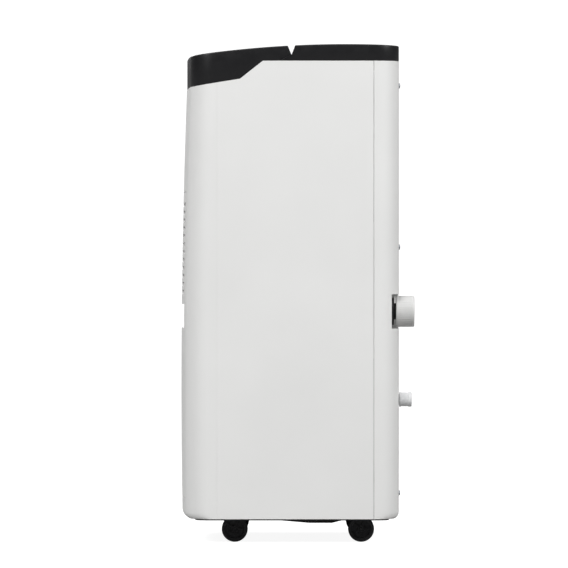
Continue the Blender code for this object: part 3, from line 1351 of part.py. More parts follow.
def main():
    for old in list(bpy.data.objects):
        bpy.data.objects.remove(old)

    white = finish("white_abs", (0.80, 0.80, 0.79), 0.38)
    dark = finish("dark_abs", (0.020, 0.020, 0.022), 0.30)
    pan = finish("base_pp", (0.022, 0.022, 0.024), 0.55)
    smoke = finish("smoked_acrylic", (0.030, 0.032, 0.036), 0.08)
    keys = finish("key_abs", (0.055, 0.055, 0.060), 0.35)
    tank = finish("tank_pp", (0.62, 0.66, 0.70), 0.45)
    inner = finish("inner_pp", (0.25, 0.26, 0.27), 0.60)
    foam = finish("float_foam", (0.80, 0.80, 0.76), 0.80)
    light = finish("cap_abs", (0.72, 0.72, 0.71), 0.40)
    rubber = finish("rubber", (0.018, 0.018, 0.018), 0.85)
    grey_rubber = finish("grey_rubber", (0.42, 0.42, 0.42), 0.75)
    steel = finish("steel", (0.55, 0.55, 0.56), 0.30, 1.0)
    fins = finish("aluminium_fins", (0.72, 0.73, 0.74), 0.35, 1.0)
    copper = finish("copper", (0.72, 0.34, 0.18), 0.30, 1.0)
    paint = finish("compressor_paint", (0.015, 0.015, 0.016), 0.40)
    board = finish("circuit_board", (0.02, 0.16, 0.06), 0.50)
    mesh = finish("filter_mesh", (0.10, 0.11, 0.12), 0.80)
    tyre = finish("wheel_pu", (0.030, 0.030, 0.032), 0.60)

    make_front_shell(white)
    make_side_panels(white)
    make_rear_panel(white)
    make_base_pan(pan)
    for name, x, y in castor_places():
        make_castor(name, x, y, pan, tyre)
    make_control_panel(dark)
    make_display_window(smoke)
    make_buttons(keys)
    make_control_board(board)
    make_outlet_housing(dark)
    make_outlet_flap(dark, steel)
    make_outlet_grille(dark)
    make_finger_scoop(white)
    make_inlet_grille(white, dark, mesh)
    make_tank(tank, white, inner, smoke, foam)
    make_bulkhead(inner)
    make_drip_tray(inner)
    make_coils(fins)
    make_fan(inner, dark, steel, steel)
    make_compressor(paint, rubber)
    make_pipes(copper)
    make_drain(dark, light, rubber)
    make_lower_outlet(dark, grey_rubber)
    make_cord_gland(rubber)


main()
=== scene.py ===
"""The looks of a portable compressor dehumidifier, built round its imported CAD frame.

Metres, +Z up, the front faces -Y. Every piece takes its place from the boxes of the CAD nodes.
"""

import json
import logging
import math
from collections.abc import Callable, Iterable, Sequence
from dataclasses import dataclass, field
from enum import Enum

import bmesh
import bpy
from mathutils import Matrix, Vector


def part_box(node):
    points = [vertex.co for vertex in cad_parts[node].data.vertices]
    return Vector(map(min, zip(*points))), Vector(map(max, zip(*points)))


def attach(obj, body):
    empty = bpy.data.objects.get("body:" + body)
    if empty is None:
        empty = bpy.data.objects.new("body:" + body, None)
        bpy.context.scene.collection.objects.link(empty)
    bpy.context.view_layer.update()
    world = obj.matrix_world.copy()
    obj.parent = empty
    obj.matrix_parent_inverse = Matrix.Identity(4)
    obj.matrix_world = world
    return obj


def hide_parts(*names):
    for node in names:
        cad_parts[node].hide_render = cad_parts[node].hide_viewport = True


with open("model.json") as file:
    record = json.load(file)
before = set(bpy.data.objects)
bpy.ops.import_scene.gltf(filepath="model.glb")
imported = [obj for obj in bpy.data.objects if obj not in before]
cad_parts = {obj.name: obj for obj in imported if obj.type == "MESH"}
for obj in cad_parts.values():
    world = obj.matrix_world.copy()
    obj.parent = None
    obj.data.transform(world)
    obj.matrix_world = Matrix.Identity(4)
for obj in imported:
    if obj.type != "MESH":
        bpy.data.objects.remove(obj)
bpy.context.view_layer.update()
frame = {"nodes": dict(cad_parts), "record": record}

MM = 0.001
RECORD = frame["record"]
LOG = logging.getLogger("dehumidifier")
# A noise pattern seldom leaves this range, so it is stretched from here to the whole swing of the gloss.
NOISE_LOW, NOISE_HIGH = 0.3, 0.7
# A corner steeper than this many degrees counts as an edge, and points closer than this count as one.
SHARP_ANGLE = 35.0
SAME_POINT = 1e-6

Point = tuple[float, float, float]
Flat = tuple[float, float]
Tree = bpy.types.NodeTree
Socket = bpy.types.NodeSocket


# Colours and nodes


def linear(code: str) -> tuple[float, float, float, float]:
    """Turns an sRGB hex colour into the linear colour that a shader takes.

    Args:
        code: Six hex digits, with or without a hash.

    Returns:
        Linear red, green and blue, and an alpha of one.
    """
    digits = code.lstrip("#")
    channels = [int(digits[start:start + 2], 16) / 255 for start in (0, 2, 4)]
    red, green, blue = [c / 12.92 if c <= 0.04045 else ((c + 0.055) / 1.055) ** 2.4 for c in channels]
    return red, green, blue, 1.0


def add_node(tree: Tree, kind: str, settings: dict | None = None,
             values: dict | None = None, links: dict | None = None) -> bpy.types.Node:
    """Adds a node with its settings, its socket values and its incoming links.

    Args:
        tree: The material's node tree.
        kind: The node's type, such as ShaderNodeTexNoise.
        settings: Properties of the node itself.
        values: Values for its input sockets, by name or number.
        links: Output sockets to link to its inputs, by name or number.

    Returns:
        The new node.
    """
    made = tree.nodes.new(kind)
    for name, value in (settings or {}).items():
        setattr(made, name, value)
    for name, value in (values or {}).items():
        made.inputs[name].default_value = value
    for name, source in (links or {}).items():
        tree.links.new(source, made.inputs[name])
    return made


class Direction(Enum):
    """The axis that a drawn, brushed or stacked pattern runs along."""

    X = (1.0, 0.0, 0.0)
    Y = (0.0, 1.0, 0.0)
    Z = (0.0, 0.0, 1.0)


def per_mm(size: float) -> float:
    """Gives the texture scale that draws one cell for each so many millimetres."""
    return 1 / (size * MM)


@dataclass(frozen=True)
class Finish:
    """What every finish shares: its name, its record slot, its colour and its gloss."""

    name: str
    record_slot: str
    colour: str
    roughness: float

    def surface(self, tree: Tree, place: Socket) -> tuple[dict, dict]:
        """Draws the finish's patterns; each kind of finish has its own.

        Args:
            tree: The material's node tree.
            place: Object coordinates in metres.

        Returns:
            The shader's own values, and the sockets linked to it.
        """
        raise NotImplementedError

    def tone_and_gloss(self, tree: Tree, tones: tuple[str, str], tone_by: Socket, gloss: Flat,
                       gloss_by: Socket) -> dict[str, Socket]:
        """Mixes two tones by one pattern, and lets the gloss wander by another.

        Args:
            tree: The material's node tree.
            tones: The colours where the first pattern is low and where it is high.
            tone_by: The first pattern.
            gloss: How far the roughness goes below and above its middle value.
            gloss_by: The second pattern.

        Returns:
            The sockets for the shader's colour and roughness.
        """
        tone = add_node(tree, "ShaderNodeMix", {"data_type": "RGBA"},
                        {6: linear(tones[0]), 7: linear(tones[1])}, {0: tone_by})
        wander = add_node(tree, "ShaderNodeMapRange", values={
            "From Min": NOISE_LOW, "From Max": NOISE_HIGH, "To Min": self.roughness - gloss[0],
            "To Max": self.roughness + gloss[1]}, links={"Value": gloss_by})
        return {"Base Color": tone.outputs[2], "Roughness": wander.outputs[0]}

    def material(self) -> bpy.types.Material:
        """Gives the finish's material, made on first use.

        Returns:
            The material.
        """
        if self.name in bpy.data.materials:
            return bpy.data.materials[self.name]
        made = bpy.data.materials.new(self.name)
        made.use_nodes = True
        tree = made.node_tree
        tree.nodes.clear()
        place = add_node(tree, "ShaderNodeTexCoord").outputs["Object"]
        values, links = self.surface(tree, place)
        shader = add_node(tree, "ShaderNodeBsdfPrincipled", values=values, links=links)
        add_node(tree, "ShaderNodeOutputMaterial", links={"Surface": shader.outputs[0]})
        return made


@dataclass(frozen=True)
class MouldedPlastic(Finish):
    """Injection-moulded ABS or PP from a spark-eroded tool: an even fine grain that softens the highlight."""

    shade: str
    grain_mm: float = 0.9
    grain_depth_mm: float = 0.012
    gloss_change: float = 0.05
    flow_mm: float = 120.0
    scuff_mm: float = 9.0
    index: float = 1.53
    specular: float = 0.5
    coat: float = 0.0

    def surface(self, tree: Tree, place: Socket) -> tuple[dict, dict]:
        """Draws the mould's grain, a slow change of tone where the melt flowed, and scuffs in the gloss.

        Args:
            tree: The material's node tree.
            place: Object coordinates in metres.

        Returns:
            The shader's own values, and the sockets linked to it.
        """
        flow = add_node(tree, "ShaderNodeTexNoise", values={"Scale": per_mm(self.flow_mm), "Detail": 2.0},
                        links={"Vector": place})
        scuffs = add_node(tree, "ShaderNodeTexNoise", values={"Scale": per_mm(self.scuff_mm), "Detail": 6.0},
                          links={"Vector": place})
        # The real grain is about 0.1 mm; it is drawn coarser so that it shows at this distance.
        grain = add_node(tree, "ShaderNodeTexNoise", values={"Scale": per_mm(self.grain_mm), "Detail": 2.0},
                         links={"Vector": place})
        relief = add_node(tree, "ShaderNodeBump", values={"Distance": self.grain_depth_mm * MM},
                          links={"Height": grain.outputs[0]})
        links = self.tone_and_gloss(tree, (self.shade, self.colour), flow.outputs[0],
                                    (self.gloss_change, self.gloss_change), scuffs.outputs[0])
        values = {"IOR": self.index, "Specular IOR Level": self.specular, "Coat Weight": self.coat,
                  "Coat Roughness": 0.12}
        return values, links | {"Normal": relief.outputs[0]}


@dataclass(frozen=True)
class ClearPlastic(Finish):
    """Natural PP, half see-through, with a milky haze."""

    haze: str
    transmission: float = 0.6
    haze_mm: float = 14.0
    ripple_mm: float = 6.0
    ripple_depth_mm: float = 0.01

    def surface(self, tree: Tree, place: Socket) -> tuple[dict, dict]:
        """Draws the haze and the slow ripples of the moulding.

        Args:
            tree: The material's node tree.
            place: Object coordinates in metres.

        Returns:
            The shader's own values, and the sockets linked to it.
        """
        cloud = add_node(tree, "ShaderNodeTexNoise", values={"Scale": per_mm(self.haze_mm), "Detail": 4.0},
                         links={"Vector": place})
        ripples = add_node(tree, "ShaderNodeTexNoise", values={"Scale": per_mm(self.ripple_mm), "Detail": 1.0},
                           links={"Vector": place})
        relief = add_node(tree, "ShaderNodeBump", values={"Distance": self.ripple_depth_mm * MM},
                          links={"Height": ripples.outputs[0]})
        links = self.tone_and_gloss(tree, (self.haze, self.colour), cloud.outputs[0], (0.0, 0.06), cloud.outputs[0])
        return {"IOR": 1.49, "Transmission Weight": self.transmission}, links | {"Normal": relief.outputs[0]}


@dataclass(frozen=True)
class Rubber(Finish):
    """Moulded rubber or soft polyurethane: dull, dusty in its pores, with a grey bloom."""

    bloom: str = "#3a3a3b"
    pore_mm: float = 0.8
    pore_depth_mm: float = 0.03
    dust_mm: float = 5.0

    def surface(self, tree: Tree, place: Socket) -> tuple[dict, dict]:
        """Draws the pores and the patchy bloom.

        Args:
            tree: The material's node tree.
            place: Object coordinates in metres.

        Returns:
            The shader's own values, and the sockets linked to it.
        """
        dust = add_node(tree, "ShaderNodeTexNoise", values={"Scale": per_mm(self.dust_mm), "Detail": 8.0},
                        links={"Vector": place})
        patches = add_node(tree, "ShaderNodeMapRange", values={"From Min": 0.45, "From Max": 0.85},
                           links={"Value": dust.outputs[0]})
        pores = add_node(tree, "ShaderNodeTexNoise", values={"Scale": per_mm(self.pore_mm), "Detail": 4.0},
                         links={"Vector": place})
        relief = add_node(tree, "ShaderNodeBump", values={"Distance": self.pore_depth_mm * MM},
                          links={"Height": pores.outputs[0]})
        links = self.tone_and_gloss(tree, (self.colour, self.bloom), patches.outputs[0], (0.06, 0.08),
                                    dust.outputs[0])
        return {"IOR": 1.52, "Specular IOR Level": 0.35}, links | {"Normal": relief.outputs[0]}


@dataclass(frozen=True)
class DrawnMetal(Finish):
    """Bare metal with the fine lines of drawing, turning or pressing along one axis."""

    shade: str
    along: Direction = Direction.Z
    line_mm: float = 0.5
    line_depth_mm: float = 0.01
    stain_mm: float = 22.0
    stretch: float = 0.03

    def surface(self, tree: Tree, place: Socket) -> tuple[dict, dict]:
        """Draws the stretched lines and a slight stain.

        Args:
            tree: The material's node tree.
            place: Object coordinates in metres.

        Returns:
            The shader's own values, and the sockets linked to it.
        """
        stretch = tuple(self.stretch if part else 1.0 for part in self.along.value)
        drawn = add_node(tree, "ShaderNodeMapping", values={"Scale": stretch}, links={"Vector": place})
        lines = add_node(tree, "ShaderNodeTexNoise", values={"Scale": per_mm(self.line_mm), "Detail": 3.0},
                         links={"Vector": drawn.outputs[0]})
        stain = add_node(tree, "ShaderNodeTexNoise", values={"Scale": per_mm(self.stain_mm), "Detail": 5.0},
                         links={"Vector": place})
        relief = add_node(tree, "ShaderNodeBump", values={"Distance": self.line_depth_mm * MM},
                          links={"Height": lines.outputs[0]})
        links = self.tone_and_gloss(tree, (self.shade, self.colour), stain.outputs[0], (0.08, 0.10),
                                    lines.outputs[0])
        return {"Metallic": 1.0}, links | {"Normal": relief.outputs[0]}


@dataclass(frozen=True)
class Enamel(Finish):
    """Sprayed enamel on pressed steel: glossy, with orange peel."""

    dull: str = "#2a2b2d"
    peel_mm: float = 2.2
    peel_depth_mm: float = 0.03
    patch_mm: float = 30.0

    def surface(self, tree: Tree, place: Socket) -> tuple[dict, dict]:
        """Draws the peel and a few dull patches.

        Args:
            tree: The material's node tree.
            place: Object coordinates in metres.

        Returns:
            The shader's own values, and the sockets linked to it.
        """
        patches = add_node(tree, "ShaderNodeTexNoise", values={"Scale": per_mm(self.patch_mm), "Detail": 4.0},
                           links={"Vector": place})
        peel = add_node(tree, "ShaderNodeTexNoise", values={"Scale": per_mm(self.peel_mm), "Detail": 2.0},
                        links={"Vector": place})
        relief = add_node(tree, "ShaderNodeBump", values={"Distance": self.peel_depth_mm * MM},
                          links={"Height": peel.outputs[0]})
        links = self.tone_and_gloss(tree, (self.colour, self.dull), patches.outputs[0], (0.08, 0.10),
                                    patches.outputs[0])
        return {"Coat Weight": 0.6, "Coat Roughness": 0.08}, links | {"Normal": relief.outputs[0]}


@dataclass(frozen=True)
class CellSurface(Finish):
    """A surface made of cells: a board's tracks between its pads, or the skin of closed-cell foam."""

    edge: str
    cell_mm: float = 3.0
    dust_mm: float = 7.0
    border: Flat = (0.03, 0.08)
    depth_mm: float = 0.05
    coat: float = 0.0

    def surface(self, tree: Tree, place: Socket) -> tuple[dict, dict]:
        """Draws the cells with their borders.

        Args:
            tree: The material's node tree.
            place: Object coordinates in metres.

        Returns:
            The shader's own values, and the sockets linked to it.
        """
        cells = add_node(tree, "ShaderNodeTexVoronoi", {"feature": "DISTANCE_TO_EDGE"},
                         {"Scale": per_mm(self.cell_mm)}, {"Vector": place})
        fill = add_node(tree, "ShaderNodeMapRange", values={"From Min": self.border[0], "From Max": self.border[1]},
                        links={"Value": cells.outputs[0]})
        dust = add_node(tree, "ShaderNodeTexNoise", values={"Scale": per_mm(self.dust_mm), "Detail": 5.0},
                        links={"Vector": place})
        relief = add_node(tree, "ShaderNodeBump", values={"Distance": self.depth_mm * MM},
                          links={"Height": fill.outputs[0]})
        links = self.tone_and_gloss(tree, (self.edge, self.colour), fill.outputs[0], (0.05, 0.08), dust.outputs[0])
        return {"Coat Weight": self.coat}, links | {"Normal": relief.outputs[0]}


@dataclass(frozen=True)
class PrintedInk(Finish):
    """Screen-printed ink on a moulded face, slightly broken; or a lit figure, which glows instead."""

    faded: str
    glow: float = 0.0
    mottle_mm: float = 0.6

    def surface(self, tree: Tree, place: Socket) -> tuple[dict, dict]:
        """Draws the ink's mottle, or the unevenness of its glow.

        Args:
            tree: The material's node tree.
            place: Object coordinates in metres.

        Returns:
            The shader's own values, and the sockets linked to it.
        """
        mottle = add_node(tree, "ShaderNodeTexNoise", values={"Scale": per_mm(self.mottle_mm), "Detail": 3.0},
                          links={"Vector": place}).outputs[0]
        links = self.tone_and_gloss(tree, (self.faded, self.colour), mottle, (0.1, 0.1), mottle)
        if self.glow:
            links["Emission Color"] = links["Base Color"]
        return {"Emission Strength": self.glow}, links


# White ABS housings: bright, satin, with a soft wide highlight.
WHITE_ABS = MouldedPlastic("white_abs_moulded", "white_abs", "#e2e2e1", 0.44, "#d9d9d8")
# Dark ABS top: nearly black and satin, so that only its round corners catch the light.
DARK_ABS = MouldedPlastic("dark_abs_moulded", "dark_abs", "#171719", 0.36, "#111113", grain_depth_mm=0.006,
                          specular=0.35)
# Filled PP of the pan and the castor hoods: matt black.
BASE_PP = MouldedPlastic("base_pp_moulded", "base_pp", "#232324", 0.52, "#2d2d2e", grain_depth_mm=0.02, specular=0.5)
# Grey PP of the hidden air and water parts.
INNER_PP = MouldedPlastic("inner_pp_moulded", "inner_pp", "#84878a", 0.55, "#6f7275")
# Keys: dark satin ABS, a little lighter than the panel round them.
KEY_ABS = MouldedPlastic("key_abs_moulded", "key_abs", "#3c3d40", 0.36, "#323336", grain_depth_mm=0.004)
# The drain cap: light grey ABS, a little duller than the body.
CAP_ABS = MouldedPlastic("cap_abs_moulded", "cap_abs", "#d0d0cf", 0.42, "#c6c6c5")
# Smoked acrylic windows: almost black, polished.
SMOKED_ACRYLIC = MouldedPlastic("acrylic_smoked", "smoked_acrylic", "#17181b", 0.07, "#0f1013", grain_depth_mm=0.0,
                                gloss_change=0.03, index=1.49, coat=1.0)
# The filter's threads: dull charcoal nylon.
FILTER_NYLON = MouldedPlastic("nylon_woven", "filter_mesh", "#3a3d42", 0.60, "#2f3236", flow_mm=30.0)
# The tank: natural PP, milky, half see-through.
TANK_PP = ClearPlastic("tank_pp_natural", "tank_pp", "#dfe6ec", 0.34, "#c4ced8", transmission=0.55)
# Feet, washer and gland: black rubber, the dullest finish here.
BLACK_RUBBER = Rubber("rubber_black", "rubber", "#161616", 0.82)
# The lower plug: light grey rubber with a chalky bloom.
GREY_RUBBER = Rubber("rubber_grey", "grey_rubber", "#c9cacb", 0.72, bloom="#e2e2e3")
# Castor wheels: cast polyurethane, dark grey and dull where it rolls.
WHEEL_PU = Rubber("wheel_polyurethane", "wheel_pu", "#2a2a2c", 0.58, bloom="#3d3d3f", pore_mm=1.2)
# Shafts and pins: drawn steel with lines along the bar.
STEEL = DrawnMetal("steel_drawn", "steel", "#b9babc", 0.30, "#98999c", along=Direction.X)
# Screws, motor can and end plates: pressed steel, zinc plated, with a cool grey bloom.
ZINC_STEEL = DrawnMetal("steel_zinc_pressed", "steel", "#a9adb2", 0.36, "#858a90", along=Direction.Y)
# Pipes: drawn copper, bright but a little tarnished.
COPPER = DrawnMetal("copper_drawn", "copper", "#c87a4f", 0.28, "#8f5333", along=Direction.Z)
# The coils' tubes: the same copper, drawn across the cabinet.
COPPER_ACROSS = DrawnMetal("copper_drawn_tube", "copper", "#c87a4f", 0.28, "#8f5333", along=Direction.X)
# The coils' fins: rolled aluminium foil, bright along its edges.
FINS = DrawnMetal("aluminium_rolled_fins", "aluminium_fins", "#d2d5d8", 0.34, "#b4b8bc", along=Direction.Z)
# The compressor: black sprayed enamel.
COMPRESSOR_ENAMEL = Enamel("enamel_black_sprayed", "compressor_paint", "#161718", 0.30)
# The circuit board: green solder mask over copper tracks. Real tracks are about 0.3 mm apart; they are drawn coarser.
BOARD_MASK = CellSurface("solder_mask_green", "circuit_board", "#14502b", 0.40, "#2f7a45", coat=0.5)
# The float: skinned closed-cell foam. Real cells are about 0.5 mm; they are drawn coarser.
FLOAT_FOAM = CellSurface("foam_closed_cell", "float_foam", "#e6e4da", 0.80, "#b9b7aa", cell_mm=1.6,
                         border=(0.02, 0.3), depth_mm=0.12)
# Pictures on the keys and marks on the level window: pale screen-printed ink.
INK = PrintedInk("ink_screen_printed", "key_abs", "#d8dadc", 0.45, "#a9acaf")
# The display's lit figures: a cool even glow.
LED_GLOW = PrintedInk("led_figures_lit", "smoked_acrylic", "#f0faff", 0.40, "#a8d8ec", glow=1.6)


# Meshes


def body_of(node: str) -> str:
    """Gives the name of the CAD body that a node belongs to."""
    return next(body for body, members in RECORD["behaviour"]["bodies"].items() if node in members)


def middle(node: str) -> Point:
    """Gives the middle of a CAD node's box."""
    low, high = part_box(node)
    return (low[0] + high[0]) / 2, (low[1] + high[1]) / 2, (low[2] + high[2]) / 2


def at(axis: str, along: float, first: float, second: float) -> Point:
    """Gives a point from its place along an axis and its two places across it.

    Args:
        axis: X, Y or Z.
        along: The place along that axis.
        first: The earlier of the other two coordinates.
        second: The later one.

    Returns:
        The point in X, Y, Z order.
    """
    return {"X": (along, first, second), "Y": (first, along, second), "Z": (first, second, along)}[axis]


def prism(outline: Sequence[Flat], axis: str, low: float, high: float) -> bmesh.types.BMesh:
    """Extrudes a closed outline along an axis.

    Args:
        outline: Points across the axis.
        axis: X, Y or Z.
        low: Where the solid starts.
        high: Where it ends.

    Returns:
        A closed solid.
    """
    return lofted([[at(axis, level, *point) for point in outline] for level in (low, high)])


def lofted(rings: Sequence[Sequence[Point]], caps: bool = True) -> bmesh.types.BMesh:
    """Skins closed rings of points that match, with a cap at each end if asked for.

    Args:
        rings: Rings of as many points each, in order.
        caps: Whether the two ends are closed.

    Returns:
        The skin, which is a closed solid when it has its caps.
    """
    shape = bmesh.new()
    loops = [[shape.verts.new(point) for point in ring] for ring in rings]
    for lower, upper in zip(loops, loops[1:]):
        for index in range(len(lower)):
            shape.faces.new((lower[index - 1], lower[index], upper[index], upper[index - 1]))
    if caps:
        shape.faces.new(loops[0])
        shape.faces.new(loops[-1])
    bmesh.ops.recalc_face_normals(shape, faces=shape.faces[:])
    return shape


def block(low: Sequence[float], high: Sequence[float]) -> bmesh.types.BMesh:
    """Makes a box between two corners."""
    return prism([(low[0], low[1]), (high[0], low[1]), (high[0], high[1]), (low[0], high[1])], "Z", low[2], high[2])


def rounded_box(low: Sequence[float], high: Sequence[float], radius: float, steps: int = 3) -> bmesh.types.BMesh:
    """Makes a box between two corners with all its edges rounded.

    Args:
        low: The lowest corner.
        high: The highest corner.
        radius: The edge radius.
        steps: Segments in each rounding.

    Returns:
        A closed solid.
    """
    shape = block(low, high)
    bmesh.ops.bevel(shape, geom=shape.edges[:], offset=radius, segments=steps, profile=0.5, affect="EDGES")
    return shape


def turned(profile: Sequence[Flat], steps: int = 48, axis: str = "Z", centre: Point = (0.0, 0.0, 0.0),
           turn: float = 0.0) -> bmesh.types.BMesh:
    """Turns a profile about an axis, as a lathe does.

    Args:
        profile: (radius, place along the axis) points; it is closed unless both ends are on the axis.
        steps: Segments in the full turn.
        axis: X, Y or Z.
        centre: A point that the axis runs through, where places along it are counted from.
        turn: The first segment's angle, in radians.

    Returns:
        A closed solid.
    """
    shape = bmesh.new()
    verts = [shape.verts.new((radius, 0.0, height)) for radius, height in profile]
    pairs = list(zip(verts, verts[1:]))
    if profile[0][0] > 0.0 or profile[-1][0] > 0.0:
        pairs.append((verts[-1], verts[0]))
    edges = [shape.edges.new(pair) for pair in pairs]
    bmesh.ops.spin(shape, geom=verts + edges, cent=(0, 0, 0), axis=(0, 0, 1), angle=math.tau, steps=steps,
                   use_merge=True)
    bmesh.ops.remove_doubles(shape, verts=shape.verts[:], dist=SAME_POINT)
    turns = {"X": Matrix.Rotation(math.pi / 2, 4, "Y"), "Y": Matrix.Rotation(-math.pi / 2, 4, "X")}
    place = Matrix.Translation(centre) @ turns.get(axis, Matrix.Identity(4)) @ Matrix.Rotation(turn, 4, "Z")
    bmesh.ops.transform(shape, matrix=place, verts=shape.verts[:])
    bmesh.ops.recalc_face_normals(shape, faces=shape.faces[:])
    return shape


def rod(radius: float, low: float, high: float, steps: int, axis: str, centre: Point) -> bmesh.types.BMesh:
    """Makes a plain round bar along an axis."""
    return turned([(0.0, low), (radius, low), (radius, high), (0.0, high)], steps, axis, centre)


def rounded_profile(radius: float, low: float, high: float, edge: float, steps: int = 4) -> list[Flat]:
    """Gives the profile of a round bar with rounded rims, from its low end's middle to its high end's middle.

    Args:
        radius: The bar's radius.
        low: Its low end.
        high: Its high end.
        edge: The rims' radius.
        steps: Segments in each rim.

    Returns:
        (radius, height) points.
    """
    quarter = [math.pi / 2 * step / steps for step in range(steps + 1)]
    lower = [(radius - edge + edge * math.sin(angle), low + edge - edge * math.cos(angle)) for angle in quarter]
    upper = [(r, high + low - z) for r, z in reversed(lower)]
    return [(0.0, low)] + lower + upper + [(0.0, high)]


def sheet(rows: Sequence[Sequence[Point]], keep: Callable[[int, int], bool] | None = None) -> bmesh.types.BMesh:
    """Makes an open skin from rows of points.

    Args:
        rows: Rows of matching points.
        keep: Says whether the face at a row and a column is made; all are if it is left out.

    Returns:
        The skin, for a Solidify step.
    """
    shape = bmesh.new()
    grid = [[shape.verts.new(point) for point in row] for row in rows]
    for row in range(len(grid) - 1):
        for column in range(len(grid[0]) - 1):
            if keep is None or keep(row, column):
                near, far = grid[row], grid[row + 1]
                shape.faces.new((near[column], near[column + 1], far[column + 1], far[column]))
    bmesh.ops.delete(shape, geom=[vert for vert in shape.verts if not vert.link_faces], context="VERTS")
    return shape


def gathered(shapes: Iterable[bmesh.types.BMesh]) -> bmesh.types.BMesh:
    """Puts several shapes into one, and frees them.

    Args:
        shapes: The shapes, which are used up.

    Returns:
        One shape that holds them all, unjoined.
    """
    group = bmesh.new()
    for single in shapes:
        mesh = bpy.data.meshes.new("single")
        single.to_mesh(mesh)
        single.free()
        group.from_mesh(mesh)
        bpy.data.meshes.remove(mesh)
    return group


def placed(shape: bmesh.types.BMesh, matrix: Matrix) -> bmesh.types.BMesh:
    """Moves a shape by a matrix and gives it back."""
    bmesh.ops.transform(shape, matrix=matrix, verts=shape.verts[:])
    return shape


def temporary(shape: bmesh.types.BMesh) -> bpy.types.Object:
    """Makes an object that stands in the scene only while a shape is worked on.

    Args:
        shape: The shape, which is used up.

    Returns:
        The object, for the caller to remove.
    """
    mesh = bpy.data.meshes.new("work")
    shape.to_mesh(mesh)
    shape.free()
    made = bpy.data.objects.new("work", mesh)
    bpy.context.scene.collection.objects.link(made)
    return made


def worked(shape: bmesh.types.BMesh, *steps: tuple[str, dict]) -> bmesh.types.BMesh:
    """Runs modifiers on a shape.

    Args:
        shape: The shape, which is used up.
        steps: Each modifier's kind and settings; a Boolean's object is given as a shape.

    Returns:
        The result.
    """
    made = temporary(shape)
    helpers = []
    for kind, settings in steps:
        step = made.modifiers.new(kind, kind)
        for name, value in settings.items():
            if isinstance(value, bmesh.types.BMesh):
                value = temporary(value)
                helpers.append(value)
            setattr(step, name, value)
    result = bmesh.new()
    result.from_object(made, bpy.context.evaluated_depsgraph_get())
    for item in [made] + helpers:
        mesh = item.data
        bpy.data.objects.remove(item)
        bpy.data.meshes.remove(mesh)
    return result


def without(shape: bmesh.types.BMesh, *others: bmesh.types.BMesh) -> bmesh.types.BMesh:
    """Takes closed shapes away from a closed shape."""
    return worked(shape, *[("BOOLEAN", {"operation": "DIFFERENCE", "solver": "EXACT", "object": o}) for o in others])


def joined(shape: bmesh.types.BMesh, *others: bmesh.types.BMesh) -> bmesh.types.BMesh:
    """Joins closed shapes to a closed shape."""
    return worked(shape, *[("BOOLEAN", {"operation": "UNION", "solver": "EXACT", "object": o}) for o in others])


def thickened(skin: bmesh.types.BMesh, thickness: float) -> bmesh.types.BMesh:
    """Gives an open skin a wall that grows away from its normals' side."""
    settings = {"thickness": thickness, "offset": -1.0, "use_even_offset": True}
    return worked(skin, ("SOLIDIFY", settings))


def clean_group() -> bpy.types.NodeTree:
    """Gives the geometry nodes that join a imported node's split corners and smooth its round faces.

    Returns:
        The node group, made on first use.
    """
    name = "smooth_by_angle"
    if name in bpy.data.node_groups:
        return bpy.data.node_groups[name]
    tree = bpy.data.node_groups.new(name, "GeometryNodeTree")
    for direction in ("INPUT", "OUTPUT"):
        tree.interface.new_socket("Geometry", in_out=direction, socket_type="NodeSocketGeometry")
    source = add_node(tree, "NodeGroupInput").outputs[0]
    merged = add_node(tree, "GeometryNodeMergeByDistance", values={"Distance": SAME_POINT},
                      links={"Geometry": source})
    bare = add_node(tree, "GeometryNodeRemoveAttribute", values={"Name": "custom_normal"},
                    links={"Geometry": merged.outputs[0]})
    smooth = add_node(tree, "GeometryNodeSetShadeSmooth", {"domain": "FACE"}, {"Shade Smooth": True},
                      {"Geometry": bare.outputs[0]})
    angle = add_node(tree, "GeometryNodeInputMeshEdgeAngle").outputs[0]
    steep = add_node(tree, "FunctionNodeCompare", {"operation": "GREATER_THAN", "data_type": "FLOAT"},
                     {1: math.radians(SHARP_ANGLE)}, {0: angle}).outputs[0]
    sharp = add_node(tree, "GeometryNodeSetShadeSmooth", {"domain": "EDGE"}, {"Shade Smooth": False},
                     {"Geometry": smooth.outputs[0], "Selection": steep})
    add_node(tree, "NodeGroupOutput", links={"Geometry": sharp.outputs[0]})
    return tree


def edged(piece: bpy.types.Object, width_mm: float, steps: int = 2) -> None:
    """Rounds a piece's sharp edges, so that each carries a thin highlight.

    Args:
        piece: The piece.
        width_mm: The rounding's width; none is added for zero.
        steps: Segments in the rounding.
    """
    piece.modifiers.new("smooth", "NODES").node_group = clean_group()
    if width_mm:
        edge = piece.modifiers.new("edges", "BEVEL")
        edge.width = width_mm * MM
        edge.segments = steps
        edge.limit_method = "ANGLE"
        edge.angle_limit = math.radians(SHARP_ANGLE)
        edge.harden_normals = True
        edge.miter_outer = "MITER_ARC"


def show(name: str, shape: bmesh.types.BMesh, finish: Finish, body: str, replaces: Sequence[str] = (),
         edge_mm: float = 0.0) -> bpy.types.Object:
    """Makes a shape into a piece that rides on a CAD body.

    Args:
        name: The piece's name.
        shape: Its shape, which is used up.
        finish: Its finish.
        body: The CAD body that it rides on.
        replaces: The CAD nodes that it stands for.
        edge_mm: The rounding of its sharp edges.

    Returns:
        The piece.
    """
    mesh = bpy.data.meshes.new(name)
    bmesh.ops.remove_doubles(shape, verts=shape.verts[:], dist=SAME_POINT)
    shape.to_mesh(mesh)
    shape.free()
    mesh.materials.append(finish.material())
    piece = bpy.data.objects.new(name, mesh)
    bpy.context.scene.collection.objects.link(piece)
    edged(piece, edge_mm)
    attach(piece, body)
    if replaces:
        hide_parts(*replaces)
    LOG.info("%s: %s, on %s", name, finish.name, body)
    return piece


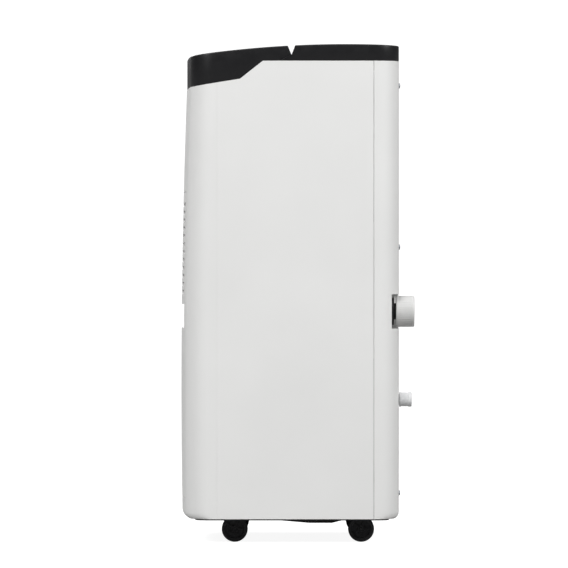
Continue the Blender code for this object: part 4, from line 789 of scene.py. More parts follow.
def dress(node: str, finish: Finish, edge_mm: float = 0.4) -> None:
    """Gives a CAD node, whose shape stays, its finish and its rounded edges.

    Args:
        node: The CAD node.
        finish: Its finish.
        edge_mm: The rounding of its sharp edges.
    """
    piece = frame["nodes"][node]
    piece.data.materials.clear()
    piece.data.materials.append(finish.material())
    edged(piece, edge_mm)
    LOG.info("%s: %s, kept", node, finish.name)


# The cabinet's form


def arc(centre: Flat, radius: float, start: float, end: float, steps: int) -> list[Flat]:
    """Gives points on an arc, its angles in degrees."""
    angles = [math.radians(start + (end - start) * step / steps) for step in range(steps + 1)]
    return [(centre[0] + radius * math.cos(angle), centre[1] + radius * math.sin(angle)) for angle in angles]


def row_of(low: float, high: float, steps: int) -> list[float]:
    """Gives evenly spaced numbers from one to another."""
    return [low + (high - low) * step / steps for step in range(steps + 1)]


@dataclass(frozen=True)
class CabinetForm:
    """The curves that the cabinet's pieces share, taken from the boxes of its CAD nodes."""

    half_width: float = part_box("side_panel_right")[1][0]
    front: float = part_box("tank_fascia")[0][1]
    back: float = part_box("rear_panel")[1][1]
    foot_z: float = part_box("front_shell")[0][2]
    height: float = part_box("outlet_housing")[1][2]
    band_low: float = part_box("outlet_housing")[1][2] - 54 * MM
    band_rear_low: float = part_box("outlet_housing")[0][2]
    front_seam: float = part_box("front_shell")[1][1]
    rear_seam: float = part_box("rear_panel")[0][1]
    wall: float = 3 * MM
    corner: float = 28 * MM
    foot: float = 9 * MM
    bow: float = 6 * MM
    fall: float = 9 * MM
    widest_z: float = 0.190
    crown: float = 16 * MM
    peak_y: float = 0.060
    step_z: float = 0.568
    groove_y: float = -6.7 * MM
    groove_half: float = 4.5 * MM
    groove_depth: float = 11 * MM
    gap: float = 0.4 * MM

    def front_y(self, z: float) -> float:
        """Gives the front's middle line: a shallow arc that leans back towards the top."""
        return self.front + self.fall * ((z - self.widest_z) / (self.height - self.widest_z)) ** 2

    def bow_at(self, x: float) -> float:
        """Gives how far the front has fallen back at this distance from its middle."""
        return self.bow * (x / (self.half_width - self.corner)) ** 2

    def top_z(self, y: float) -> float:
        """Gives the crowned top's height."""
        return self.height - self.crown * ((y - self.peak_y) / (self.peak_y - self.front)) ** 2

    def band_corners(self) -> list[Flat]:
        """Gives the dark band's lower edge, from the front to the rear, as (y, z).

        Returns:
            (y, z) corners.
        """
        return [
            (self.front, self.band_low), (self.groove_y - 63 * MM, self.step_z),
            (self.groove_y - 35 * MM, self.band_rear_low), (self.back, self.band_rear_low),
        ]

    def band_z(self, y: float) -> float:
        """Gives the height of the dark band's lower edge.

        Args:
            y: A place from front to back.

        Returns:
            The height, on straight lines between the corners.
        """
        corners = self.band_corners()
        for (near_y, near_z), (far_y, far_z) in zip(corners, corners[1:]):
            if y <= far_y:
                return near_z + max(0.0, (y - near_y) / (far_y - near_y)) * (far_z - near_z)
        return corners[-1][1]

    def front_half(self, inset: float, front: float, end: float, stops: Sequence[float] = ()) -> list[Flat]:
        """Gives the right half of the front's plan line.

        Args:
            inset: How far the line lies inside the outer face.
            front: The foremost point of the outer face.
            end: Where the line ends on the side, as y.
            stops: Places along the bow, as x, that the line has points at.

        Returns:
            (x, y) points from next to the middle to the end.
        """
        edge = self.half_width - self.corner
        places = sorted(set(row_of(edge / 24, edge * 23 / 24, 11)) | set(stops))
        bow = [(x, front + inset + self.bow_at(x)) for x in places]
        bend = arc((edge, front + self.bow + self.corner), self.corner - inset, -90, 0, 12)
        return bow + bend + [(self.half_width - inset, end)]

    def rear_half(self, inset: float, start: float, shrink: float = 0.0) -> list[Flat]:
        """Gives the right half of the rear's plan line, from the side to next to the middle.

        Args:
            inset: How far the line lies inside the outer face.
            start: Where the line starts on the side, as y.
            shrink: How far its rearmost point is drawn in.

        Returns:
            (x, y) points.
        """
        edge = self.half_width - self.corner
        bend = arc((edge, self.back - self.corner), self.corner - inset, 0, 90, 12)
        flat = [(x, self.back - inset) for x in reversed(row_of(edge / 6, edge * 5 / 6, 4))]
        half = [(self.half_width - inset, start)] + bend + flat
        reach = self.back - self.rear_seam
        return [(x, y - shrink * max(0.0, (y - self.rear_seam) / reach)) for x, y in half]

    def foot_rows(self) -> list[Flat]:
        """Gives heights and setbacks of the rounded lower edge, from the bottom up.

        Returns:
            (height, setback) pairs.
        """
        angles = [math.radians(degrees) for degrees in range(70, -1, -10)]
        first = math.sin(angles[0])
        return [(self.foot_z + self.foot * (first - math.sin(a)), self.foot * (1 - math.cos(a))) for a in angles]

    def front_panel(self, half: float, low: float, high: float, inset: float) -> list[list[Point]]:
        """Gives rows of points of a panel that follows the front's bow and lean.

        Args:
            half: Half its width.
            low: Its lowest edge.
            high: Its highest edge.
            inset: How far it lies behind the front's outer face.

        Returns:
            Rows of points, from the bottom up.
        """
        return [[(x, self.front_y(z) + inset + self.bow_at(x), z) for x in row_of(-half, half, 24)]
                for z in row_of(low, high, 12)]


FORM = CabinetForm()


def mirrored(half: Sequence[Flat]) -> list[Flat]:
    """Gives a whole line from its right half: from the left end, round the middle, to the right end."""
    return [(-x, y) for x, y in reversed(half)] + list(half)


@dataclass
class Cabinet:
    """The white shell: front, sides and back, with the screws that hold the back."""

    opening_half: float = 150.4 * MM
    recess_floor: float = 9 * MM
    recess_side: float = 28 * MM
    recess_half: float = 21 * MM
    spigot_hole: float = 10.4 * MM
    outlet_hole: float = 7.4 * MM
    gland_hole: float = 6.9 * MM
    flat_low: float = 100 * MM
    beyond: float = 10 * MM
    edge_mm: float = 0.12
    seam_close: float = 0.15 * MM
    screw_radius: float = 3.4 * MM
    screw_rim: float = 0.4 * MM
    screw_crown: float = 1.6 * MM
    screw_x: float = 150 * MM
    screw_levels: tuple[float, ...] = (60 * MM, 362 * MM, 560 * MM)
    cross_half: float = 0.5 * MM
    cross_reach: float = 1.9 * MM
    cross_floor: float = 0.9 * MM

    def front_shell(self) -> None:
        """Builds the moulded front, open in the middle for the grille, the scoop and the tank."""
        low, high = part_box("tank_fascia")[0][2] - 1 * MM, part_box("inlet_grille")[1][2] + 2 * FORM.gap
        levels = FORM.foot_rows()
        levels += [(z, 0.0) for z in row_of(levels[-1][0], low, 2)[1:]]
        levels += [(z, 0.0) for z in row_of(low, high, 16)[1:] + row_of(high, FORM.band_low - self.beyond, 6)[1:]]
        end, stops = FORM.front_seam + self.seam_close, (self.opening_half,)
        rows = []
        for z, setback in levels:
            line = mirrored(FORM.front_half(0.0, FORM.front_y(z) + setback, end, stops))
            rows.append([(x, y, z) for x, y in line])
        line = mirrored(FORM.front_half(0.0, FORM.front_y(FORM.band_low), end, stops))
        rows.append([(x, y, FORM.band_z(y) - FORM.gap) for x, y in line])

        def solid(row: int, column: int) -> bool:
            """Says whether a face lies outside the opening.

            Args:
                row: The face's row.
                column: Its column.

            Returns:
                True if the face is made.
            """
            middle_x = (rows[row][column][0] + rows[row][column + 1][0]) / 2
            middle_z = (rows[row][column][2] + rows[row + 1][column][2]) / 2
            inside = abs(middle_x) < self.opening_half and rows[row][column][1] < FORM.front_seam - self.beyond
            return not (inside and low < middle_z < high)

        shape = thickened(sheet(rows, solid), FORM.wall)
        show("front_shell_fine", shape, WHITE_ABS, "cabinet", ["front_shell"], self.edge_mm)

    def drain_recess(self, shell: bmesh.types.BMesh) -> bmesh.types.BMesh:
        """Sinks the walled recess that the drain cap sits in into the back's rear corner.

        Args:
            shell: The back, which is used up.

        Returns:
            The back with its recess.
        """
        drain_x, _, drain_z = middle("drain_cap")
        left, floor = drain_x - self.recess_side, FORM.back - self.recess_floor
        edge, bend = FORM.half_width - FORM.corner, FORM.corner - FORM.wall / 2
        start = math.degrees(math.asin((floor - FORM.wall - FORM.back + FORM.corner) / bend))
        pocket = [(left - FORM.wall, floor - FORM.wall)]
        pocket += arc((edge, FORM.back - FORM.corner), bend, start, 90, 8)
        pocket.append((left - FORM.wall, FORM.back - FORM.wall / 2))
        low, high = drain_z - self.recess_half, drain_z + self.recess_half
        walled = joined(shell, prism(pocket, "Z", low - FORM.wall, high + FORM.wall))
        cutter = block((left, floor, low), (FORM.half_width + self.beyond, FORM.back + self.beyond, high))
        return without(walled, cutter)

    def rear_panel(self) -> None:
        """Builds the moulded back with its drain recess and its holes."""
        levels = FORM.foot_rows() + [(z, 0.0) for z in row_of(self.flat_low, FORM.band_rear_low - FORM.gap, 4)]
        rows = []
        for z, setback in levels:
            half = FORM.rear_half(0.0, FORM.rear_seam, setback)[::-1]
            rows.append([(x, y, z) for x, y in reversed(mirrored(half))])
        panel = self.drain_recess(thickened(sheet(rows), FORM.wall))
        holes = [("drain_cap", self.spigot_hole), ("lower_outlet", self.outlet_hole), ("cord_gland", self.gland_hole)]
        cutters = []
        for node, radius in holes:
            x, _, z = middle(node)
            cutters.append(rod(radius, FORM.rear_seam - self.beyond, FORM.back + self.beyond, 40, "Y", (x, 0.0, z)))
        show("rear_panel_fine", without(panel, *cutters), WHITE_ABS, "cabinet", ["rear_panel"], self.edge_mm)

    def screws(self) -> None:
        """Builds the pan-head screws that hold the back, each with a cross recess."""
        radius, rim = self.screw_radius, self.screw_rim
        head = [(0.0, -1 * MM), (radius, -1 * MM), (radius, rim)]
        head += [(radius * math.cos(a), rim + self.screw_crown * math.sin(a)) for a in row_of(0.2, math.pi / 2, 6)]
        head[-1] = (0.0, head[-1][1])
        places = [(side * self.screw_x, z) for side in (-1, 1) for z in self.screw_levels]
        places += [(0.0, self.screw_levels[0]), (0.0, self.screw_levels[-1])]
        near, far = FORM.back + self.cross_floor, FORM.back + 4 * MM
        for number, (x, z) in enumerate(places, 1):
            cross = [block((x - along, near, z - across), (x + along, far, z + across))
                     for along, across in ((self.cross_reach, self.cross_half), (self.cross_half, self.cross_reach))]
            shape = without(turned(head, 32, "Y", (x, FORM.back, z)), *cross)
            show(f"rear_screw_{number}", shape, ZINC_STEEL, "cabinet")

    def build(self) -> None:
        """Builds the shell's pieces."""
        self.front_shell()
        self.rear_panel()
        self.screws()
        for side in ("left", "right"):
            dress(f"side_panel_{side}", WHITE_ABS, self.edge_mm)


class Icon(Enum):
    """The generic picture printed on each key."""

    POWER = "button_power"
    MODE = "button_mode"
    HUMIDITY = "button_humidity"
    FAN = "button_fan_speed"
    TIMER = "button_timer"


def stroke(points: Sequence[Flat], width: float, closed: bool = False) -> list[Flat]:
    """Turns a line into the outline of a printed stroke.

    Args:
        points: The line's points.
        width: The stroke's width.
        closed: Whether the line comes back to its start.

    Returns:
        The outline: along one side, and back along the other.
    """
    line = [Vector(point) for point in points]
    left, right = [], []
    for index, point in enumerate(line):
        before = line[index - 1] if index or closed else point
        after = line[(index + 1) % len(line)] if index + 1 < len(line) or closed else point
        across = (after - before).normalized().orthogonal() * width / 2
        left.append(tuple(point + across))
        right.append(tuple(point - across))
    return left + right[::-1] if not closed else left + left[:1] + right[:1] + right[::-1]


def printed(outlines: Sequence[Sequence[Flat]], low: float, high: float) -> bmesh.types.BMesh:
    """Makes printed strokes as thin solids, from their outlines."""
    return gathered([prism(outline, "Z", low, high) for outline in outlines])


def droplet(x: float, y: float, radius: float, tip: float) -> list[Flat]:
    """Gives a drop's outline, from its belly's middle and radius and the height of its tip."""
    return arc((x, y), radius, -215, 35, 24) + [(x, tip)]


@dataclass
class TopCover:
    """The dark top: the control panel with its keys and display, and the frame round the air outlet."""

    rounding: float = 1.6 * MM
    low_edge: float = 0.5 * MM
    key_radius: float = 7.5 * MM
    window: Flat = (66 * MM, 20 * MM)
    hollow_rounding: float = 0.6 * MM
    hollow_low_edge: float = 0.1 * MM
    hollow_depth: float = 20 * MM
    rim: float = 0.5 * MM
    key_flange: float = 1.4 * MM
    key_rise: float = 0.4 * MM
    key_foot: float = 10.4 * MM
    flap_room: float = 0.6 * MM
    flap_rim: float = 0.6 * MM
    well_wall: float = 2.5 * MM
    flap_thickness: float = 3 * MM
    flap_edge: float = 0.7 * MM
    flap_groove: float = 0.7 * MM
    flap_grooves: int = 4
    flap_pitch: float = 17 * MM
    barrel: float = 4 * MM
    pin_bore: float = 2 * MM
    pin_depth: float = 14 * MM
    face: Matrix = field(init=False)

    def __post_init__(self) -> None:
        """Finds the panel's face at the row of keys, from a key's box."""
        low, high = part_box(Icon.POWER.value)
        centre_y = (low[1] + high[1]) / 2
        tilt = math.atan(2 * FORM.crown * (FORM.peak_y - centre_y) / (FORM.peak_y - FORM.front) ** 2)
        # A key's flange, just under the panel's wall, is its widest part and its foremost one.
        under = FORM.wall + FORM.gap
        axis_y = low[1] + (self.key_radius + self.key_flange) * math.cos(tilt) - under * math.sin(tilt)
        self.face = Matrix.Translation((0.0, axis_y, FORM.top_z(axis_y))) @ Matrix.Rotation(tilt, 4, "X")

    def slab(self, half_at: Callable[[float], list[Flat]], low: Callable[[float], float],
             high: Callable[[float], float], rounding: float, low_edge: float) -> bmesh.types.BMesh:
        """Makes a crowned slab with a rounded top edge.

        Args:
            half_at: Gives the right half of the plan line at an inset.
            low: The underside's height at a y.
            high: The top's height at a y.
            rounding: Radius of the top edge.
            low_edge: Radius of the lower edge.

        Returns:
            A closed solid whose two faces are ladders of strips across X.
        """
        rings = []
        for inset, rise in ((low_edge, 0.0), (low_edge * 0.3, low_edge * 0.3), (0.0, low_edge)):
            rings.append([(x, y, low(y) + rise) for x, y in mirrored(half_at(inset))])
        for angle in row_of(0.0, math.pi / 2, 5):
            inset, drop = rounding * (1 - math.cos(angle)), rounding * (1 - math.sin(angle))
            rings.append([(x, y, high(y) - drop) for x, y in mirrored(half_at(inset))])
        return self.strip(rings)

    def seam(self) -> tuple[Flat, Flat]:
        """Gives the V-groove's bottom and the seam's foot, as (y, z)."""
        groove = (FORM.groove_y, FORM.top_z(FORM.groove_y) - FORM.groove_depth)
        return groove, (FORM.groove_y - 13 * MM, FORM.band_rear_low)

    def seam_cut(self, side: int) -> bmesh.types.BMesh:
        """Makes the cutter that ends a half of the top at the seam.

        Args:
            side: 1 to take away everything behind the seam, -1 everything in front of it.

        Returns:
            A closed prism across the whole width.
        """
        (groove_y, groove_z), (foot_y, foot_z) = self.seam()
        gap, edge, above, below = side * FORM.gap / 2, 0.6 * MM, 9 * MM, 2 * MM
        lip = groove_y - side * FORM.groove_half
        top = FORM.top_z(lip)
        slope_y, slope_z = side * edge * 0.38, edge * 0.92
        far = groove_y + side * 0.2
        foot = foot_y - gap - below * (groove_y - foot_y) / (groove_z - foot_z)
        line = [
            (foot, foot_z - below), (groove_y - gap, groove_z), (lip + slope_y, top - slope_z),
            (lip - side * edge, top + 0.08 * MM), (lip - side * edge, top + above), (far, top + above),
            (far, foot_z - below),
        ]
        return prism(line, "X", -FORM.half_width - 57 * MM, FORM.half_width + 57 * MM)

    def hole(self, radius: float, x: float) -> bmesh.types.BMesh:
        """Makes the cutter for a key's hole, flared at the face so that the hole has a soft rim.

        Args:
            radius: The hole's radius.
            x: Its place across the panel.

        Returns:
            The cutter, in its place.
        """
        flare = 0.5 * MM
        profile = [(0.0, -15 * MM), (radius, -15 * MM), (radius, -flare), (radius + flare * 0.3, -flare * 0.3),
                   (radius + flare, 0.1 * MM), (radius + flare, 6 * MM), (0.0, 6 * MM)]
        return placed(turned(profile, 48), self.face @ Matrix.Translation((x, 0.0, 0.0)))

    def control_panel(self) -> None:
        """Builds the front half of the top, which wraps down over the front."""
        front = FORM.front_y(FORM.step_z)
        kinks = [y for y, _ in FORM.band_corners()[1:3]]
        straight = sorted(row_of(-98 * MM, 8 * MM, 24) + kinks)
        rear = self.seam()[1][0] - FORM.wall
        inner = sorted([y for y in straight if y < rear] + [rear])

        def plan(inset: float, places: Sequence[float]) -> list[Flat]:
            """Gives the plan line at an inset, with points along the side for the crown and the step."""
            return FORM.front_half(inset, front, places[0])[:-1] + [(FORM.half_width - inset, y) for y in places]

        slab = self.slab(lambda inset: plan(inset, straight), FORM.band_z, FORM.top_z, self.rounding, self.low_edge)
        hollow = self.slab(lambda inset: plan(inset + FORM.wall, inner), lambda y: FORM.band_low - self.hollow_depth,
                           lambda y: FORM.top_z(y) - FORM.wall, self.hollow_rounding, self.hollow_low_edge)
        width, depth = self.window[0] / 2 + FORM.gap, self.window[1] / 2 + FORM.gap
        frame_hole = placed(block((-width, -depth, -10 * MM), (width, depth, 10 * MM)), self.face)
        corners = ((-1, -1), (1, -1), (1, 1), (-1, 1))
        rim_rings = [[(x * (width + grow), y * (depth + grow), z) for x, y in corners]
                     for grow, z in ((0.0, -self.rim), (self.rim, 0.1 * MM), (self.rim, 3 * MM))]
        rim_cut = placed(lofted(rim_rings), self.face)
        holes = [self.hole(self.key_radius + FORM.gap, middle(icon.value)[0]) for icon in Icon]
        shape = without(slab, hollow, self.seam_cut(1), frame_hole, rim_cut, *holes)
        show("control_panel_fine", shape, DARK_ABS, "cabinet", ["control_panel"])

    def outlet_housing(self) -> None:
        """Builds the rear half of the top, a frame round the air outlet."""
        bend = FORM.back - FORM.corner
        straight = row_of(-26 * MM, bend, 24)
        inner = row_of(FORM.groove_y + FORM.groove_half + 1 * MM, bend, 12)

        def plan(inset: float, places: Sequence[float]) -> list[Flat]:
            """Gives the plan line at an inset, from the middle of the back to the front of the slab."""
            side = [(FORM.half_width - inset, y) for y in places[:-1]]
            return list(reversed(side + FORM.rear_half(inset, places[-1])[1:]))

        slab = self.slab(lambda inset: plan(inset, straight), lambda y: FORM.band_rear_low, FORM.top_z,
                         self.rounding, self.low_edge)
        hollow = self.slab(lambda inset: plan(inset + FORM.wall, inner),
                           lambda y: FORM.band_rear_low - self.hollow_depth, lambda y: FORM.top_z(y) - FORM.wall,
                           self.hollow_rounding, self.hollow_low_edge)
        flap_low, flap_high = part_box("outlet_flap")
        low = (flap_low[0] - self.flap_room, flap_low[1] - self.flap_room)
        high = (flap_high[0] + self.flap_room, flap_high[1] + self.flap_room)
        floor, roof, wall = FORM.height - 110 * MM, FORM.height + 90 * MM, self.well_wall
        well = block((low[0] - wall, low[1] - wall, floor), (high[0] + wall, high[1] + wall, roof))
        opening = block((*low, floor), (*high, roof))
        crest = []
        for grow, rise in ((0.0, -self.flap_rim), (self.flap_rim, 0.1 * MM), (self.flap_rim, 4 * MM)):
            ring = [(low[0] - grow, low[1] - grow)] + [(low[0] - grow, y) for y in row_of(low[1], high[1], 8)]
            ring += [(low[0] - grow, high[1] + grow), (high[0] + grow, high[1] + grow)]
            ring += [(high[0] + grow, y) for y in row_of(high[1], low[1], 8)] + [(high[0] + grow, low[1] - grow)]
            crest.append([(x, y, FORM.top_z(y) + rise) for x, y in ring])
        shape = without(slab, without(hollow, well), opening, self.strip(crest), self.seam_cut(-1))
        show("outlet_housing_fine", shape, DARK_ABS, "cabinet", ["outlet_housing"])

    def strip(self, rings: list[list[Point]]) -> bmesh.types.BMesh:
        """Lofts rings that are symmetric across X, and closes both ends with strips that follow the crown.

        Args:
            rings: Rings of points, each a left half and its mirror image.

        Returns:
            A closed solid.
        """
        shape = lofted(rings, caps=False)
        count = len(rings[0])
        for loop in (shape.verts[:count], shape.verts[-count:]):
            for index in range(count // 2 - 1):
                shape.faces.new((loop[index], loop[index + 1], loop[-index - 2], loop[-index - 1]))
        bmesh.ops.recalc_face_normals(shape, faces=shape.faces[:])
        return shape

    def flap(self) -> None:
        """Builds the louvre over the outlet, with grooves along it and its barrel."""
        low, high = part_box("outlet_flap")
        axis = (0.0, *middle("flap_pin_left")[1:])
        front, edge, thickness = low[1], self.flap_edge, self.flap_thickness
        tops = [(front, FORM.top_z(front) - edge), (front + edge * 0.3, FORM.top_z(front) - edge * 0.3)]
        tops.append((front + edge, FORM.top_z(front + edge)))
        half_groove = ((-1.2 * MM, 0.0), (-0.5 * MM, self.flap_groove), (0.5 * MM, self.flap_groove), (1.2 * MM, 0.0))
        for number in range(1, self.flap_grooves + 1):
            centre = front + self.flap_pitch * number
            tops += [(centre + shift, FORM.top_z(centre + shift) - drop) for shift, drop in half_groove]
        last = front + self.flap_pitch * self.flap_grooves + 5 * MM
        tops += [(y, FORM.top_z(y)) for y in row_of(last, axis[1], 3)]
        unders = [(y, FORM.top_z(y) - thickness) for y in row_of(axis[1], front + edge, 12)]
        unders.append((front, FORM.top_z(front) - thickness + edge))
        plate = prism(tops + unders, "X", low[0], high[0])
        shape = joined(plate, rod(self.barrel, low[0], high[0], 32, "X", axis))
        bores = []
        for side in (-1, 1):
            inner, outer = sorted((side * (high[0] - self.pin_depth), side * (high[0] + 5 * MM)))
            bores.append(rod(self.pin_bore, inner, outer, 24, "X", axis))
        show("outlet_flap_fine", without(shape, *bores), DARK_ABS, "outlet_flap", ["outlet_flap"], 0.25)
        for node in ("flap_pin_left", "flap_pin_right"):
            dress(node, STEEL, 0.2)

    def key(self, icon: Icon) -> None:
        """Builds a key with a dished top and the picture printed on it.

        Args:
            icon: Which key, and so which picture.
        """
        node, radius, rise = icon.value, self.key_radius, self.key_rise
        place = self.face @ Matrix.Translation((middle(node)[0], 0.0, 0.0))
        under, flange, stem = -FORM.wall - FORM.gap, self.key_flange, 2 * MM
        dished, dip = 0.82, 0.35 * MM
        dish = [(radius * share, rise - dip * (1 - (share / dished) ** 2)) for share in row_of(0.0, dished, 6)]
        crown = [(radius - 0.9 * MM, rise), (radius - 0.4 * MM, 0.25 * MM), (radius - 0.1 * MM, -0.1 * MM),
                 (radius, -0.5 * MM)]
        foot = [(radius, under), (radius + flange, under), (radius + flange, under - 1.2 * MM),
                (stem, under - 1.2 * MM), (stem, -self.key_foot), (0.0, -self.key_foot)]
        show(f"{node}_fine", placed(turned(dish + crown + foot, 56), place), KEY_ABS, node, [node])
        low = 0.02 * MM
        show(f"{node}_print", placed(printed(self.picture(icon), low, low + 0.5 * MM), place), INK, node)

    def picture(self, icon: Icon) -> list[list[Flat]]:
        """Draws a key's picture.

        Args:
            icon: Which picture.

        Returns:
            Outlines of its strokes, on the key's face.
        """
        width, reach, centre = 0.7 * MM, 2.9 * MM, (0.0, 0.0)
        if icon is Icon.POWER:
            return [stroke(arc(centre, reach, 125, 415, 30), width), stroke([(0.0, 0.6 * MM), (0.0, 3.6 * MM)], width)]
        if icon is Icon.MODE:
            rays = []
            for angle in row_of(0.0, math.tau * 5 / 6, 5):
                ray = [(math.cos(angle) * far, math.sin(angle) * far) for far in (1.9 * MM, 3.4 * MM)]
                rays.append(stroke(ray, width))
            return rays + [arc(centre, 0.9 * MM, 0, 340, 17)]
        if icon is Icon.HUMIDITY:
            return [stroke(droplet(0.0, -0.8 * MM, 2.1 * MM, 3.4 * MM), width, closed=True)]
        if icon is Icon.FAN:
            blades = []
            for turn in (90, 210, 330):
                angle = math.radians(turn)
                hub = (1.9 * MM * math.cos(angle), 1.9 * MM * math.sin(angle))
                blades.append(arc(hub, 1.2 * MM, turn, turn + 340, 17))
            return blades + [arc(centre, 0.5 * MM, 0, 340, 17)]
        hands = [(0.0, 1.9 * MM), (0.0, 0.0), (1.4 * MM, 0.0)]
        return [stroke(arc(centre, reach, 0, 348, 29), width, closed=True), stroke(hands, width)]

    def figure(self, lit: str, left: float) -> list[list[Flat]]:
        """Draws a figure of a seven-bar display.

        Args:
            lit: The letters of its lit bars, from a at the top, clockwise to f, with g in the middle.
            left: The place of its middle across the panel.

        Returns:
            Outlines of its lit bars.
        """
        half_bar, size, across, up = 0.55 * MM, 2.1 * MM, 2.6 * MM, 2.5 * MM
        spots = {
            "a": (left, 2 * up, True), "g": (left, 0.0, True), "d": (left, -2 * up, True),
            "f": (left - across, up, False), "b": (left + across, up, False),
            "e": (left - across, -up, False), "c": (left + across, -up, False),
        }
        line = [(-size, 0.0), (-size + half_bar, half_bar), (size - half_bar, half_bar), (size, 0.0),
                (size - half_bar, -half_bar), (-size + half_bar, -half_bar)]
        bars = []
        for letter in lit:
            x, y, flat = spots[letter]
            bars.append([(x + u, y + v) if flat else (x + v, y + u) for u, v in line])
        return bars

    def display(self) -> None:
        """Builds the smoked window, and the lit figures that show through it."""
        half_x, half_y = self.window[0] / 2, self.window[1] / 2
        window = rounded_box((-half_x, -half_y, -FORM.wall - 1.4 * MM), (half_x, half_y, 0.0), 0.3 * MM, 3)
        show("display_window_fine", placed(window, self.face), SMOKED_ACRYLIC, "cabinet", ["display_window"])
        drop = droplet(18 * MM, -0.88 * MM, 2.31 * MM, 3.74 * MM)
        bars = self.figure("afgcd", -7.5 * MM) + self.figure("abcdef", 1.5 * MM)
        figures = placed(printed(bars + [drop], 0.01 * MM, 0.12 * MM), self.face)
        show("display_figures", figures, LED_GLOW, "cabinet")

    def build(self) -> None:
        """Builds the top's pieces."""
        self.control_panel()
        self.outlet_housing()
        self.flap()
        self.display()
        for icon in Icon:
            self.key(icon)
        dress("outlet_grille", BASE_PP, 0.3)
        dress("control_board", BOARD_MASK, 0.1)


@dataclass
class Front:
    """The louvred inlet grille, the dust filter behind it, and the finger scoop."""

    thickness: float = 4 * MM
    rows: int = 12
    slot: float = 5 * MM
    border: float = 10 * MM
    mullion: float = 8 * MM
    thread_pitch: float = 2 * MM
    thread: float = 0.32 * MM
    thread_sides: int = 6
    weave: float = 0.144 * MM

    def grille(self) -> None:
        """Builds the grille: two columns of slots with round ends in a bowed panel."""
        low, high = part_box("inlet_grille")
        panel = thickened(sheet(FORM.front_panel(high[0], low[2], high[2], 0.0)), self.thickness)
        field_low, reach = low[2] + self.border, high[0] - self.border
        pitch = (high[2] - self.border - field_low) / self.rows
        radius = self.slot / 2
        slots = []
        for row in range(self.rows):
            z = field_low + pitch * (row + 0.5)
            for side in (-1, 1):
                left, right = sorted((side * (self.mullion / 2 + radius), side * (reach - radius)))
                outline = arc((right, z), radius, -90, 90, 10) + arc((left, z), radius, 90, 270, 10)
                slots.append(prism(outline, "Y", FORM.front - 10 * MM, FORM.front + 30 * MM))
        shape = without(panel, gathered(slots))
        show("inlet_grille_fine", shape, WHITE_ABS, "front_grille", ["inlet_grille"], 0.35)

    def filter(self) -> None:
        """Builds the filter's woven mesh, and dresses its frame."""
        low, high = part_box("filter_mesh")
        plane = (low[1] + high[1]) / 2
        # Real mesh of this kind has a thread each 0.8 mm; it is drawn coarser, so that its weave shows.
        strands = []
        for axis, across in ((0, 2), (2, 0)):
            for number in range(int((high[axis] - low[axis]) / self.thread_pitch)):
                start, end = [0.0, 0.0, 0.0], [0.0, 0.0, 0.0]
                start[axis] = end[axis] = low[axis] + (number + 0.5) * self.thread_pitch
                start[across], end[across] = low[across], high[across]
                start[1] = end[1] = plane + self.weave * (1 if number % 2 else -1)
                strands.append(self.strand(start, end))
        show("filter_mesh_fine", gathered(strands), FILTER_NYLON, "front_grille", ["filter_mesh"])
        dress("filter_frame", DARK_ABS, 0.5)

    def strand(self, start: Sequence[float], end: Sequence[float]) -> bmesh.types.BMesh:
        """Makes one thread between two points.

        Args:
            start: Its start.
            end: Its end.

        Returns:
            A closed solid.
        """
        across = Vector((0.0, 1.0, 0.0))
        other = (Vector(end) - Vector(start)).normalized().cross(across)
        angles = [math.tau * step / self.thread_sides for step in range(self.thread_sides)]
        return lofted([[tuple(Vector(point) + (across * math.cos(a) + other * math.sin(a)) * self.thread / 2)
                        for a in angles] for point in (start, end)])

    def build(self) -> None:
        """Builds the front's pieces."""
        self.grille()
        self.filter()
        dress("finger_scoop", WHITE_ABS, 0.5)


